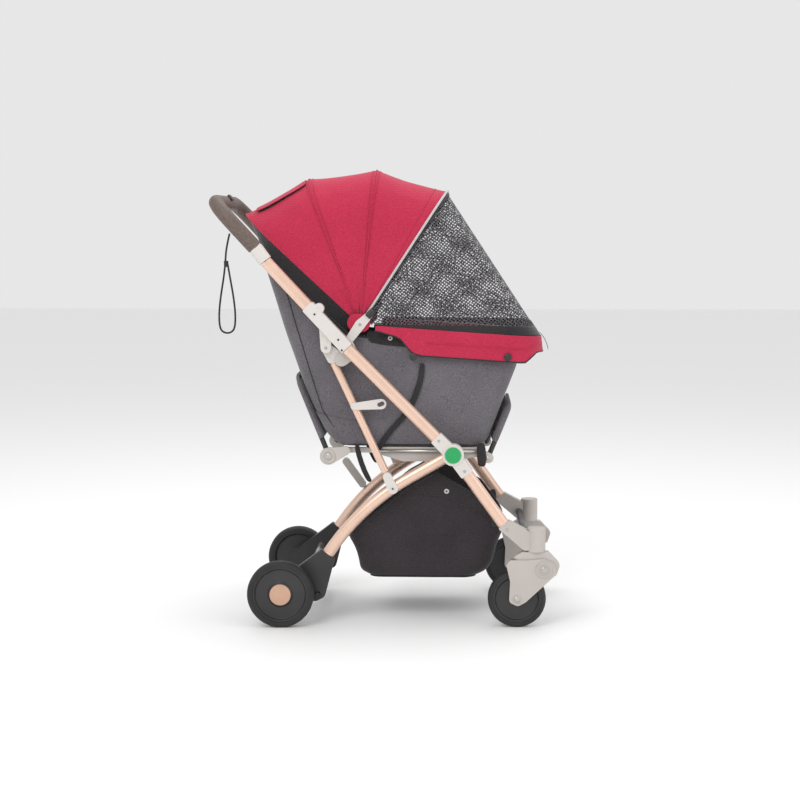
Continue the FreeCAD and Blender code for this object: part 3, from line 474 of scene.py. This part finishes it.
def make_canopy():
    """Three red panels, seams, piping, the rear flap, the mesh front, its band and the skirt."""
    rear = canopy_panel("canopy_cloth_rear", "rear_edge", "rear", "chassis")
    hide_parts("canopy_rear_panel")
    middle = canopy_panel("canopy_cloth_middle", "rear", "mid", None)
    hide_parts("canopy_mid_panel")
    front = canopy_panel("canopy_cloth_front", "mid", "front", None)
    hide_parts("canopy_front_panel")
    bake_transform(middle)
    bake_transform(front)
    for name, body in (("rear", "chassis"), ("mid", "canopy_mid")):
        tube("seam_" + name, bow_line(name, 0.001, 0.025, 0.975), 0.0014, "crimson_fabric", body)
        for k, other in enumerate(NEXT_BOWS[name]):
            points = [lerp(bow(name, u, 0.0008), bow(other, u, 0.0008), 0.05) for u in
                      (lerp(0.03, 0.97, j / BOW_STEPS) for j in range(BOW_STEPS + 1))]
            tube("stitch_%s_%d" % (name, k), points, 0.0005, "crimson_fabric", body)
    tube("canopy_piping", bow_line("front", 0.0022, 0.02, 0.98), 0.0028, "piping", "canopy_front")
    hem_line = [panel_point("mid", "front", lerp(0.03, 0.97, j / 90), 0.84, 0.001) for j in range(91)]
    hem = tube("canopy_hem_stitch", hem_line, 0.0008, "crimson_fabric", None)
    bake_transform(hem)
    tube("canopy_rear_hem", bow_line("rear_edge", 0.0005, 0.022, 0.978), 0.0022, "crimson_fabric", "chassis")
    flap_rows = []
    # the dark sheet just under the flap stands for the window and is also painted shade: it makes the dark
    # strip seen under the flap's lifted edge
    window_and_shade_rows = []
    for i in range(9):
        w = 0.16 + 0.80 * i / 8
        lift = [0.0022 + 0.0065 * (abs(j - 12) / 12) ** 4 * (1 - 0.5 * i / 8) for j in range(25)]
        flap_rows.append([panel_point("rear_edge", "rear", 0.375 + 0.25 * j / 24, w, lift[j])
                          for j in range(25)])
        window_and_shade_rows.append([panel_point("rear_edge", "rear", 0.379 + 0.242 * j / 24, w, 0.0008)
                            for j in range(25)])
    flap = grid("canopy_rear_flap", flap_rows, "crimson_fabric", "chassis", thick=0.002)
    # dark sheet of painted shade under the rear flap, standing for the window beneath it
    dark_window_and_shade = grid("canopy_rear_window", window_and_shade_rows, "dark_lining", "chassis", thick=0.0008)
    make_mesh_front()


def lay_flat(thing):
    """Flat cloth coordinates in metres: the side view on the sides, and across by down on the front."""
    layer = thing.data.uv_layers.new(name="cloth")
    for face in thing.data.polygons:
        sideways = abs(face.normal.y) > 0.6
        for loop in face.loop_indices:
            here = thing.data.vertices[thing.data.loops[loop].vertex_index].co
            down = 0.64 * here.x - 0.77 * here.z
            layer.data[loop].uv = (here.x, here.z) if sideways else (here.y, down)


def mesh_point(u, w):
    """A point of the mesh: w from 0 at the front bow to 1 at the rim."""
    return lerp(bow("front", u, -0.001), bow("rim", u, -0.001), w)


def make_mesh_front():
    """Mesh stretched from the front bow to the rim, its binding, a black band, a red skirt and its snaps."""
    rows = []
    for i in range(19):
        row = []
        for j in range(BOW_STEPS + 1):
            u = 0.022 + 0.956 * j / BOW_STEPS
            row.append(mesh_point(u, i / 18 * 0.94))
        rows.append(row)
    mesh = grid("mesh_cloth", rows, "mesh_fabric", "canopy_front", thick=0.0)
    lay_flat(mesh)
    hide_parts("mesh_front")
    band_rows = [[mesh_point(0.035 + 0.93 * j / 80, w) for j in range(81)]
                 for w in (0.925, 0.94, 0.965, 0.99, 1.0)]
    for row in band_rows:
        for k, point in enumerate(row):
            row[k] = point + (point - CANOPY).normalized() * 0.0012
    band = grid("mesh_bottom_band", band_rows, "dark_lining", "canopy_front", thick=0.002)
    edge = [mesh_point(lerp(0.02, 0.98, j / 90), 0.012) for j in range(91)]
    tube("mesh_edge_binding", edge, 0.0034, "dark_lining", "canopy_front")
    skirt_rows = []
    steps = 8
    for i in range(steps + 1):
        w = i / steps
        row = []
        for j in range(91):
            u = 0.03 + 0.94 * j / 90
            top = bow("rim", u, 0.001)
            forward = (top.x - CANOPY.x) / 0.42
            drop = 0.004 + 0.030 * min(1.0, forward * 3.0)
            drop += 0.028 * max(0.0, min(1.0, (forward - 0.215) * 14))
            if forward > 0.9:
                drop = 0.062 - 0.026 * min(1.0, (forward - 0.9) * 14)
            flare = 0.002 * math.sin(j * 0.9) * w + 0.0025 * w
            out = Vector((1, 0, 0))
            if abs(top.y) > 0.12:
                out = Vector((0.4 * forward, -1 if top.y < 0 else 1, 0))
            row.append(top + Vector((0, 0, -drop * w)) + out.normalized() * flare)
        skirt_rows.append(row)
    skirt = grid("skirt_cloth", skirt_rows, "crimson_fabric", "canopy_front", thick=0.0022)
    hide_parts("canopy_skirt")
    fold = [p + Vector((0.0, -0.0016 if p.y < 0 else 0.0016, 0)) for p in skirt_rows[4][10:81]]
    tube("skirt_fold_seam", fold, 0.0012, "crimson_fabric", "canopy_front")
    tube("skirt_hem", skirt_rows[-1], 0.0018, "dark_lining", "canopy_front")
    for side in (-1, 1):
        for k, x in enumerate((0.066, 0.283)):
            disc("skirt_snap_%d_%d" % (side, k), (x, side * 0.1835, 0.622), 0.009, 0.004,
                 "black_plastic", "canopy_front", side)
    pull = [(0.361, -0.03, 0.672), (0.372, -0.032, 0.660), (0.380, -0.033, 0.644), (0.383, -0.034, 0.628)]
    ribbon("zip_pull", pull, (0, 1, 0), 0.010, "webbing_fabric", "canopy_front")


# ---------------------------------------------------------------- cabin and basket
def profile_value(table, place):
    """Value read off a table of straight runs."""
    for (start, low), (end, high) in zip(table, table[1:]):
        if place <= end:
            w = max(0.0, (place - start) / (end - start))
            return lerp(low, high, w)
    return table[-1][1]


def ring_point(turn, rear, front, half, corner):
    """A point round a rounded rectangle, turn from 0 to 1, starting at the rear middle, right side first."""
    length, width = (front - rear), 2 * half
    arc = math.pi / 2 * corner
    runs = [width / 2 - corner, arc, length - 2 * corner, arc, width / 2 - corner]
    total = sum(runs)
    mirror = 1
    s = turn * 2 * total
    if s > total:
        s = 2 * total - s
        mirror = -1
    if s < runs[0]:
        x, y = rear, -s
    elif s < runs[0] + runs[1]:
        a = (s - runs[0]) / corner
        x, y = rear + corner * (1 - math.cos(a)), -half + corner - corner * math.sin(a)
    elif s < sum(runs[:3]):
        x, y = rear + corner + (s - runs[0] - runs[1]), -half
    elif s < sum(runs[:4]):
        a = (s - sum(runs[:3])) / corner
        x, y = front - corner + corner * math.sin(a), -half + corner * (1 - math.cos(a))
    else:
        x, y = front, -half + corner + (s - sum(runs[:4]))
    return x, mirror * y


# the cabin's outline: x at a height, then height at an x
CABIN_REAR = ((0.410, -0.100), (0.422, -0.122), (0.446, -0.140), (0.500, -0.168), (0.571, -0.196),
              (0.640, -0.221), (0.720, -0.247), (0.832, -0.281))
CABIN_FRONT = ((0.410, 0.220), (0.425, 0.237), (0.50, 0.266), (0.600, 0.304), (0.640, 0.315), (0.70, 0.322))
CABIN_TOP = ((-0.30, 0.832), (-0.272, 0.830), (-0.235, 0.808), (-0.086, 0.672), (-0.03, 0.665), (0.06, 0.653),
             (0.316, 0.641), (0.4, 0.641))
CABIN_HALF = 0.165
CABIN_CORNER = 0.035
CABIN_FLOOR = 0.412


def cabin_top(x):
    """Height of the cabin's top edge along its length."""
    return profile_value(CABIN_TOP, x)


def cabin_rows(inset=0.0, low=0.0, high=1.0, steps=16):
    """Rings of the cabin wall, from its floor edge up to its sloping top edge."""
    rows = []
    count = 128
    for i in range(steps + 1):
        w = lerp(low, high, i / steps)
        row = []
        for j in range(count):
            turn = j / count
            z = 0.5
            for _ in range(6):
                rear, front = profile_value(CABIN_REAR, z), profile_value(CABIN_FRONT, z)
                half = CABIN_HALF - 0.012 * max(0.0, 1 - (z - 0.41) / 0.05) ** 2
                x, y = ring_point(turn, rear + inset, front - inset, half - inset, CABIN_CORNER)
                z = lerp(CABIN_FLOOR, cabin_top(x), w)
            point = Vector((x, y, z))
            puff = 0.0022 * noise.noise(point * 9.0) + 0.0010 * noise.noise(point * 30.0)
            puff -= 0.0015 * math.sin(math.pi * w)
            centre = Vector((lerp(rear, front, 0.5), 0, z))
            row.append(point + (point - centre).normalized() * puff * (1 if inset == 0 else 0.3))
        rows.append(row)
    return rows


def make_cabin():
    """Heather cabin wall, floor, bindings, rear flap, side strips with eyelets, and mat."""
    rows = cabin_rows()
    wall = grid("cabin_cloth", rows, "heather_fabric", "chassis", closed=True, thick=0.0026)
    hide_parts("cabin")
    mesh = bpy.data.meshes.new("cabin_floor_cloth")
    build = bmesh.new()
    edge = [build.verts.new(p + Vector((0, 0, 0.0006))) for p in rows[0]]
    middle = build.verts.new((0.06, 0, 0.4115))
    for k in range(len(edge)):
        build.faces.new((edge[k], middle, edge[(k + 1) % len(edge)]))
    build.to_mesh(mesh)
    build.free()
    floor = finished("cabin_floor_cloth", mesh, "dark_lining", "chassis", smooth=False, thick=0.001)
    tube("cabin_top_binding", rows[-1], 0.0032, "dark_lining", "chassis", closed=True)
    floor_line = [p + Vector((0, 0, 0.004)) for p in rows[0]]
    tube("cabin_floor_binding", floor_line, 0.0030, "dark_lining", "chassis", closed=True)
    flap_rows = [[row[j] for j in range(-22, 23)] for row in cabin_rows(-0.0012, 0.02, 0.24, 5)]
    flap = grid("cabin_rear_flap", flap_rows, "heather_fabric", "chassis", thick=0.002)
    for side in (-1, 1):
        strip = [(-0.045, side * 0.1672, 0.668), (0.02, side * 0.1672, 0.662), (0.075, side * 0.1672, 0.656)]
        ribbon("side_strip_%d" % side, strip, (0, 0, 1), 0.034, "dark_lining", "chassis", 0.002)
        disc("side_eyelet_%d" % side, (0.012, side * 0.168, 0.664), 0.0055, 0.003, "piping", "chassis",
             side, 0.0022)
    make_mat(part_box("floor_mat"))


def make_mat(limits):
    """Padded floor mat: a crowned closed form with quilted channels."""
    low, high = Vector(limits[0]), Vector(limits[1])
    inset = Vector((0.003, 0.003, 0.003))
    low += inset
    high -= inset
    nx, ny = 40, 36
    build = bmesh.new()
    centre = (low + high) / 2
    halves = (high - low) / 2
    layers = {}
    for top in (0, 1):
        for i in range(nx + 1):
            for j in range(ny + 1):
                a, b = 2 * i / nx - 1, 2 * j / ny - 1
                pull = 1 - 0.02 * (a * a * (1 - b * b) + b * b * (1 - a * a)) * 2
                edge = max(abs(a), abs(b))
                rise = (1 - edge ** 10) ** 0.5 if edge < 1 else 0
                channel = 1 - 0.30 * math.exp(-((((a + 1) * 2.5) % 1 - 0.5) / 0.06) ** 2)
                height = halves.z * rise * channel * (1 if top else -0.95)
                if rise == 0 and (top, i, j) not in layers and (0, i, j) in layers:
                    layers[(top, i, j)] = layers[(0, i, j)]
                    continue
                layers[(top, i, j)] = build.verts.new(
                    (centre.x + a * halves.x * pull, centre.y + b * halves.y * pull, centre.z + height))
    for top in (0, 1):
        for i in range(nx):
            for j in range(ny):
                corners = ((i, j), (i + 1, j), (i + 1, j + 1), (i, j + 1))
                face = [layers[(top, *corner)] for corner in corners]
                build.faces.new(face if top else face[::-1])
    mesh = bpy.data.meshes.new("floor_mat_pad")
    build.to_mesh(mesh)
    build.free()
    pad = finished("floor_mat_pad", mesh, "mat_fabric", "chassis", levels=1)
    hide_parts("floor_mat")


def cabin_rim(s, side):
    """A point of the cabin's top edge, from s = 0 by the canopy pivot to s = 1 at the middle of the rear."""
    if s < 0.6:
        x = lerp(-0.075, -0.245, s / 0.6)
        return Vector((x, side * 0.1645, cabin_top(x)))
    if s < 0.75:
        a = (s - 0.6) / 0.15 * math.pi / 2
        return Vector((-0.245 - 0.035 * math.sin(a), side * (0.1295 + 0.035 * math.cos(a)),
                       lerp(cabin_top(-0.245), 0.829, math.sin(a))))
    return Vector((-0.280, side * lerp(0.1295, 0, (s - 0.75) / 0.25), 0.829))


def make_curtain():
    """Dark lining that closes the gap between the canopy's rear edge and the cabin's rim."""
    rows = []
    for i in range(9):
        w = i / 8
        row = []
        for j in range(81):
            u = lerp(0.024, 0.976, j / 80)
            side = -1 if u < 0.5 else 1
            s = min(1.0, (u if u < 0.5 else 1 - u) / 0.5)
            point = lerp(bow("rear_edge", u, -0.0012), cabin_rim(s, side), w)
            centre = Vector((-0.12, 0, point.z))
            pull = 0.006 * math.sin(math.pi * w) + 0.002 * noise.noise(point * 22) * math.sin(math.pi * w)
            row.append(point + (centre - point).normalized() * pull)
        rows.append(row)
    curtain = grid("rear_curtain", rows, "dark_lining", "chassis", thick=0.001)


# the basket's outline: x at a height, then height at an x
BASKET_REAR = ((0.098, -0.030), (0.112, -0.060), (0.150, -0.072), (0.202, -0.087), (0.36, -0.087))
BASKET_FRONT = ((0.098, 0.200), (0.103, 0.218), (0.115, 0.236), (0.135, 0.251), (0.160, 0.262),
                (0.216, 0.276), (0.36, 0.276))
BASKET_TOP = ((-0.090, 0.203), (-0.087, 0.204), (-0.03, 0.246), (0.05, 0.312), (0.116, 0.350),
              (0.16, 0.325), (0.225, 0.288), (0.262, 0.240), (0.278, 0.216))
BASKET_HALF = 0.157
BASKET_CORNER = 0.03
BASKET_FLOOR = 0.100


def make_basket():
    """Black basket: sagging walls, a floor, a bound rim, side seams, snaps, hangers and front ties."""
    rows = []
    count = 120
    steps = 14
    for i in range(steps + 1):
        w = i / steps
        row = []
        for j in range(count):
            z = 0.2
            for _ in range(8):
                rear, front = profile_value(BASKET_REAR, z), profile_value(BASKET_FRONT, z)
                half = BASKET_HALF - 0.022 * max(0.0, 1 - (z - BASKET_FLOOR) / 0.045) ** 2
                x, y = ring_point(j / count, rear, front, half, BASKET_CORNER)
                z = lerp(BASKET_FLOOR, profile_value(BASKET_TOP, x), w)
            point = Vector((x, y, z))
            sag = 0.007 * math.sin(math.pi * w) ** 2
            sag -= 0.003 * noise.noise(point * 11.0)
            sag -= 0.001 * noise.noise(point * 34.0)
            centre = Vector((0.1, 0, z))
            row.append(point - (point - centre).normalized() * sag)
        rows.append(row)
    wall = grid("basket_cloth", rows, "basket_fabric", "chassis", closed=True, thick=0.002)
    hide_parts("basket")
    mesh = bpy.data.meshes.new("basket_floor_cloth")
    build = bmesh.new()
    rings = []
    for scale in (1.03, 0.75, 0.5, 0.25):
        ring = []
        for p in rows[0]:
            spot = Vector((0.1, 0, BASKET_FLOOR)).lerp(p, scale)
            spot.z = 0.0994 + 0.0012 * noise.noise(spot * 20) * (scale < 1)
            ring.append(build.verts.new(spot))
        rings.append(ring)
    for a, b in zip(rings, rings[1:]):
        for k in range(count):
            n = (k + 1) % count
            build.faces.new((a[k], a[n], b[n], b[k]))
    middle = build.verts.new((0.1, 0, 0.0995))
    for k in range(count):
        build.faces.new((rings[-1][k], rings[-1][(k + 1) % count], middle))
    bmesh.ops.recalc_face_normals(build, faces=build.faces)
    build.to_mesh(mesh)
    build.free()
    floor = finished("basket_floor_cloth", mesh, "basket_fabric", "chassis", thick=0.001)
    tube("basket_rim_binding", rows[-1], 0.0034, "dark_lining", "chassis", closed=True)
    for side in (-1, 1):
        seam = []
        for k in range(25):
            x = lerp(-0.070, 0.262, k / 24)
            z = 0.205 + 0.088 * math.sin(math.pi * (x + 0.075) / 0.36)
            seam.append((x, side * 0.1555, z))
        tube("basket_seam_%d" % side, seam, 0.0014, "dark_lining", "chassis")
        disc("basket_snap_%d" % side, (0.143, side * 0.156, 0.306), 0.006, 0.004, "piping", "chassis",
             side, 0.002)
        hanger = [(0.116, side * 0.155, 0.346), (0.116, side * 0.154, 0.378)]
        ribbon("basket_hanger_%d" % side, hanger, (1, 0, 0), 0.02, "webbing_fabric", "chassis")
        front = [(0.258, side * 0.158, 0.222), (0.256, side * 0.185, 0.24), (0.256, side * 0.2035, 0.258)]
        ribbon("basket_front_tie_%d" % side, front, (1, 0, 0.3), 0.02, "webbing_fabric", "chassis")


# ---------------------------------------------------------------- webbing, grip trim and small parts
def make_webbing():
    """The black straps down each side of the cabin, by the rear and by the front."""
    for side in (-1, 1):
        y = side * 0.1685
        run = [(0.087, y, 0.607), (0.084, y, 0.575), (0.076, y, 0.545), (0.062, y, 0.510), (0.044, y, 0.482),
               (0.020, y, 0.458), (-0.002, y * 0.985, 0.430), (-0.016, y * 0.95, 0.404)]
        strap = ribbon("side_webbing_%d" % side, run, (0.93, 0, -0.36), 0.014, "webbing_fabric", "chassis")
        low = [(-0.066, y, 0.418), (-0.062, y, 0.392), (-0.048, y, 0.352), (-0.034, y, 0.328)]
        ribbon("leg_webbing_%d" % side, low, (0.95, 0, 0.3), 0.013, "webbing_fabric", "chassis")
        front = [(0.222, side * 0.1665, 0.422), (0.224, side * 0.1670, 0.395), (0.225, side * 0.1665, 0.364)]
        ribbon("front_webbing_%d" % side, front, (1, 0, 0), 0.022, "webbing_fabric", "chassis", 0.003)
        if side < 0:
            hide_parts("webbing")
        make_tab(side)


def make_tab(side):
    """A black tab on the canopy bracket: a flattened tube with drawn-in ends."""
    rows = []
    for i in range(5):
        w = i / 4
        shrink = 0.85 if i in (0, 4) else 1.0
        x, z = lerp(-0.040, -0.024, w), lerp(0.714, 0.7305, w)
        ring = []
        for k in range(12):
            a = 2 * math.pi * k / 12
            across, deep = 0.0078 * math.cos(a), 0.0034 * math.sin(a)
            ring.append(Vector((x - 0.72 * across * shrink, side * (0.1912 + deep * shrink),
                                z + 0.69 * across * shrink)))
        rows.append(ring)
    grid("canopy_tab_%d" % side, rows, "black_plastic", "chassis", closed=True, thick=0.001)


GRIP_START = Vector((-0.293, 0, 0.872))
GRIP_HEADING = math.radians(132.7)
GRIP_REACH = 0.142
GRIP_HALF = 0.217
GRIP_BEND = 0.062
GRIP_RADIUS = 0.017


def grip_line():
    """Points along the middle of the U-shaped grip, from its right end to its left end."""
    aim = Vector((math.cos(GRIP_HEADING), 0, math.sin(GRIP_HEADING)))
    straight = GRIP_REACH - GRIP_BEND
    line = []
    for side in (-1, 1):
        half = [GRIP_START + aim * lerp(0.003, straight, k / 12) + Vector((0, side * GRIP_HALF, 0))
                for k in range(13)]
        for k in range(1, 9):
            a = math.pi / 2 * k / 8
            across = side * (GRIP_HALF - GRIP_BEND + GRIP_BEND * math.cos(a))
            half.append(GRIP_START + aim * (straight + GRIP_BEND * math.sin(a)) + Vector((0, across, 0)))
        line += half if side < 0 else half[::-1]
    return line


def make_grip_seams():
    """A seam with a stitch line on each side, along the outside of the grip."""
    inside = Vector((math.sin(GRIP_HEADING), 0, -math.cos(GRIP_HEADING)))
    line = grip_line()
    for k, (lean, radius) in enumerate(((0.0, 0.0007), (0.0026, 0.00045), (-0.0026, 0.00045))):
        points = []
        for p in line:
            outward = Vector((0, 0, 0))
            if abs(p.y) > GRIP_HALF - GRIP_BEND:
                outward = Vector((0, math.copysign(1, p.y), 0))
            points.append(p - inside * GRIP_RADIUS * math.cos(lean / GRIP_RADIUS) + outward * lean)
        tube("grip_seam_%d" % k, points, radius, "brown_grip", "handle")


def make_ears():
    """Round red gussets over the canopy pivots."""
    for side in (-1, 1):
        rows = []
        for i in range(6):
            row = []
            for k in range(36):
                a = 2 * math.pi * k / 36
                reach = (0.021 + 0.006 * abs(math.cos(a))) * i / 5
                depth = 0.1832 - 0.0010 * (i / 5) ** 2
                x, z = CANOPY.x - 0.003 + reach * math.cos(a), CANOPY.z + 0.004 + reach * math.sin(a)
                row.append(Vector((x, side * depth, z)))
            rows.append(row)
        rows[0] = [p + Vector((0.0005 * math.cos(k), 0, 0.0005 * math.sin(k))) for k, p in enumerate(rows[0])]
        ear = grid("canopy_ear_%d" % side, rows, "crimson_fabric", "chassis", closed=True, thick=0.0008,
                   flip=side > 0)


def make_sleeve(name, body, hinge, degrees, reach, half, low, deep):
    """Fabric sleeve round a folding hoop: a flat padded pocket that moves with it."""
    aim = Vector((math.cos(math.radians(degrees)), 0, math.sin(math.radians(degrees))))
    face = Vector((-aim.z, 0, aim.x))
    rows = []
    steps = 14
    for i in range(steps + 1):
        w = i / steps
        along = lerp(low, reach + deep, w)
        round_off = max(0.0, (along - (reach - 0.034)) / (0.034 + deep))
        wide = half + deep - 0.034 * (1 - math.sqrt(max(0.0, 1 - round_off ** 2)))
        thin = deep * (1 if i < steps - 1 else 0.75 if i < steps else 0.2)
        row = []
        for k in range(48):
            a = 2 * math.pi * k / 48
            c, d = math.cos(a), math.sin(a)
            across = math.copysign(abs(c) ** 0.25, c) * wide
            out = math.copysign(abs(d) ** 0.6, d) * thin
            row.append(Vector((hinge[0], 0, hinge[1])) + aim * along + face * out + Vector((0, across, 0)))
        rows.append(row)
    sleeve = grid(name, rows, "heather_fabric", body, closed=True, thick=0.0012)


AXLE = (0.306, 0.067)            # x and z of the front axle
ARM_PIVOT = (0.368, 0.136)       # x and z of the suspension arm's pivot
HEEL = (0.019, 0.318)            # x and z of the strut's lower end
RIVETS = ((-0.104, 0.664), (-0.158, 0.722), (-0.096, 0.640))


def facing(place, y):
    """A side-view place (x, z) at a sideways distance."""
    return (place[0], y, place[1])


def make_rails():
    """Bright rails beside the seat base, hinge dials, bolts, dark rivets and the cabin's side seams."""
    for side in (-1, 1):
        y = side * 0.1615
        rail = [(-0.018, y, 0.4005), (0.105, y, 0.4010), (0.228, y, 0.4005)]
        tube("seat_rail_%d" % side, rail, 0.0042, "steel", "chassis")
        dial = facing(REAR_HINGE, side * 0.158)
        disc("rear_dial_ring_%d" % side, dial, 0.0165, 0.0022, "warm_grey_plastic", "chassis", side, 0.011)
        disc("rear_dial_bolt_%d" % side, dial, 0.0065, 0.0028, "steel", "chassis", side)
        bolt = facing(FRONT_HINGE, side * 0.1635)
        disc("front_dial_bolt_%d" % side, bolt, 0.005, 0.0022, "steel", "chassis", side)
        arm = "suspension_right" if side < 0 else "suspension_left"
        pivot = facing(ARM_PIVOT, side * 0.2371)
        disc("pivot_bolt_%d" % side, pivot, 0.0075, 0.0022, "steel", arm, side)
        disc("pivot_ring_%d" % side, pivot, 0.0150, 0.0012, "warm_grey_plastic", arm, side, 0.0125)
        disc("axle_bolt_%d" % side, facing(AXLE, side * 0.2361), 0.0062, 0.0024, "steel", arm, side)
        for k, place in enumerate(RIVETS):
            disc("housing_rivet_%d_%d" % (side, k), facing(place, side * 0.2305), 0.0024, 0.0010,
                 "black_plastic", "handle", side)
        disc("heel_rivet_%d" % side, facing(HEEL, side * 0.2041), 0.0022, 0.0010,
             "black_plastic", "struts", side)
        seam = [(-0.232, side * 0.1668, 0.785), (-0.208, side * 0.1665, 0.70), (-0.184, side * 0.1662, 0.62),
                (-0.166, side * 0.166, 0.56), (-0.146, side * 0.1655, 0.497), (-0.118, side * 0.1645, 0.455)]
        tube("cabin_seam_%d" % side, seam, 0.0011, "dark_lining", "chassis")


# the strap's route as (x, z), the same points as in part.py, in the plane of the right handle arm
STRAP = [(-0.352, 0.905), (-0.360, 0.872), (-0.362, 0.842), (-0.366, 0.806), (-0.373, 0.766), (-0.378, 0.724),
         (-0.3766, 0.6887), (-0.3663, 0.6784), (-0.3517, 0.6784), (-0.3414, 0.6887), (-0.340, 0.724),
         (-0.345, 0.766), (-0.352, 0.806), (-0.357, 0.836)]
STRAP_SIDE = -0.217


def make_wrist_strap():
    """The wrist strap: one smooth line from the grip round its loop and back to its neck."""
    curve = bpy.data.curves.new("wrist_strap_line", "CURVE")
    curve.dimensions = "3D"
    spline = curve.splines.new("NURBS")
    spline.points.add(len(STRAP) - 1)
    for point, (x, z) in zip(spline.points, STRAP):
        point.co = (x, STRAP_SIDE, z, 1)
    spline.order_u = 3
    spline.use_endpoint_u = True
    spline.resolution_u = 8
    curve.bevel_depth = 0.0022
    curve.bevel_resolution = 3
    curve.materials.append(materials["webbing_fabric"])
    strap = bpy.data.objects.new("wrist_strap_cord", curve)
    bpy.context.scene.collection.objects.link(strap)
    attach(strap, "handle")
    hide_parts("wrist_strap")
    neck = [(-0.3605, STRAP_SIDE, 0.843), (-0.3603, STRAP_SIDE, 0.829)]
    keeper = tube("wrist_strap_keeper", neck, 0.0052, "webbing_fabric", "handle")


make_canopy()
make_cabin()
make_curtain()
make_basket()
make_webbing()
make_grip_seams()
make_wrist_strap()
make_ears()
make_sleeve("rear_hoop_sleeve", "rear_hoop", REAR_HINGE, 112, 0.196, 0.140, 0.045, 0.0078)
make_sleeve("front_hoop_sleeve", "front_hoop", FRONT_HINGE, 68, 0.128, 0.140, 0.040, 0.0078)
make_rails()
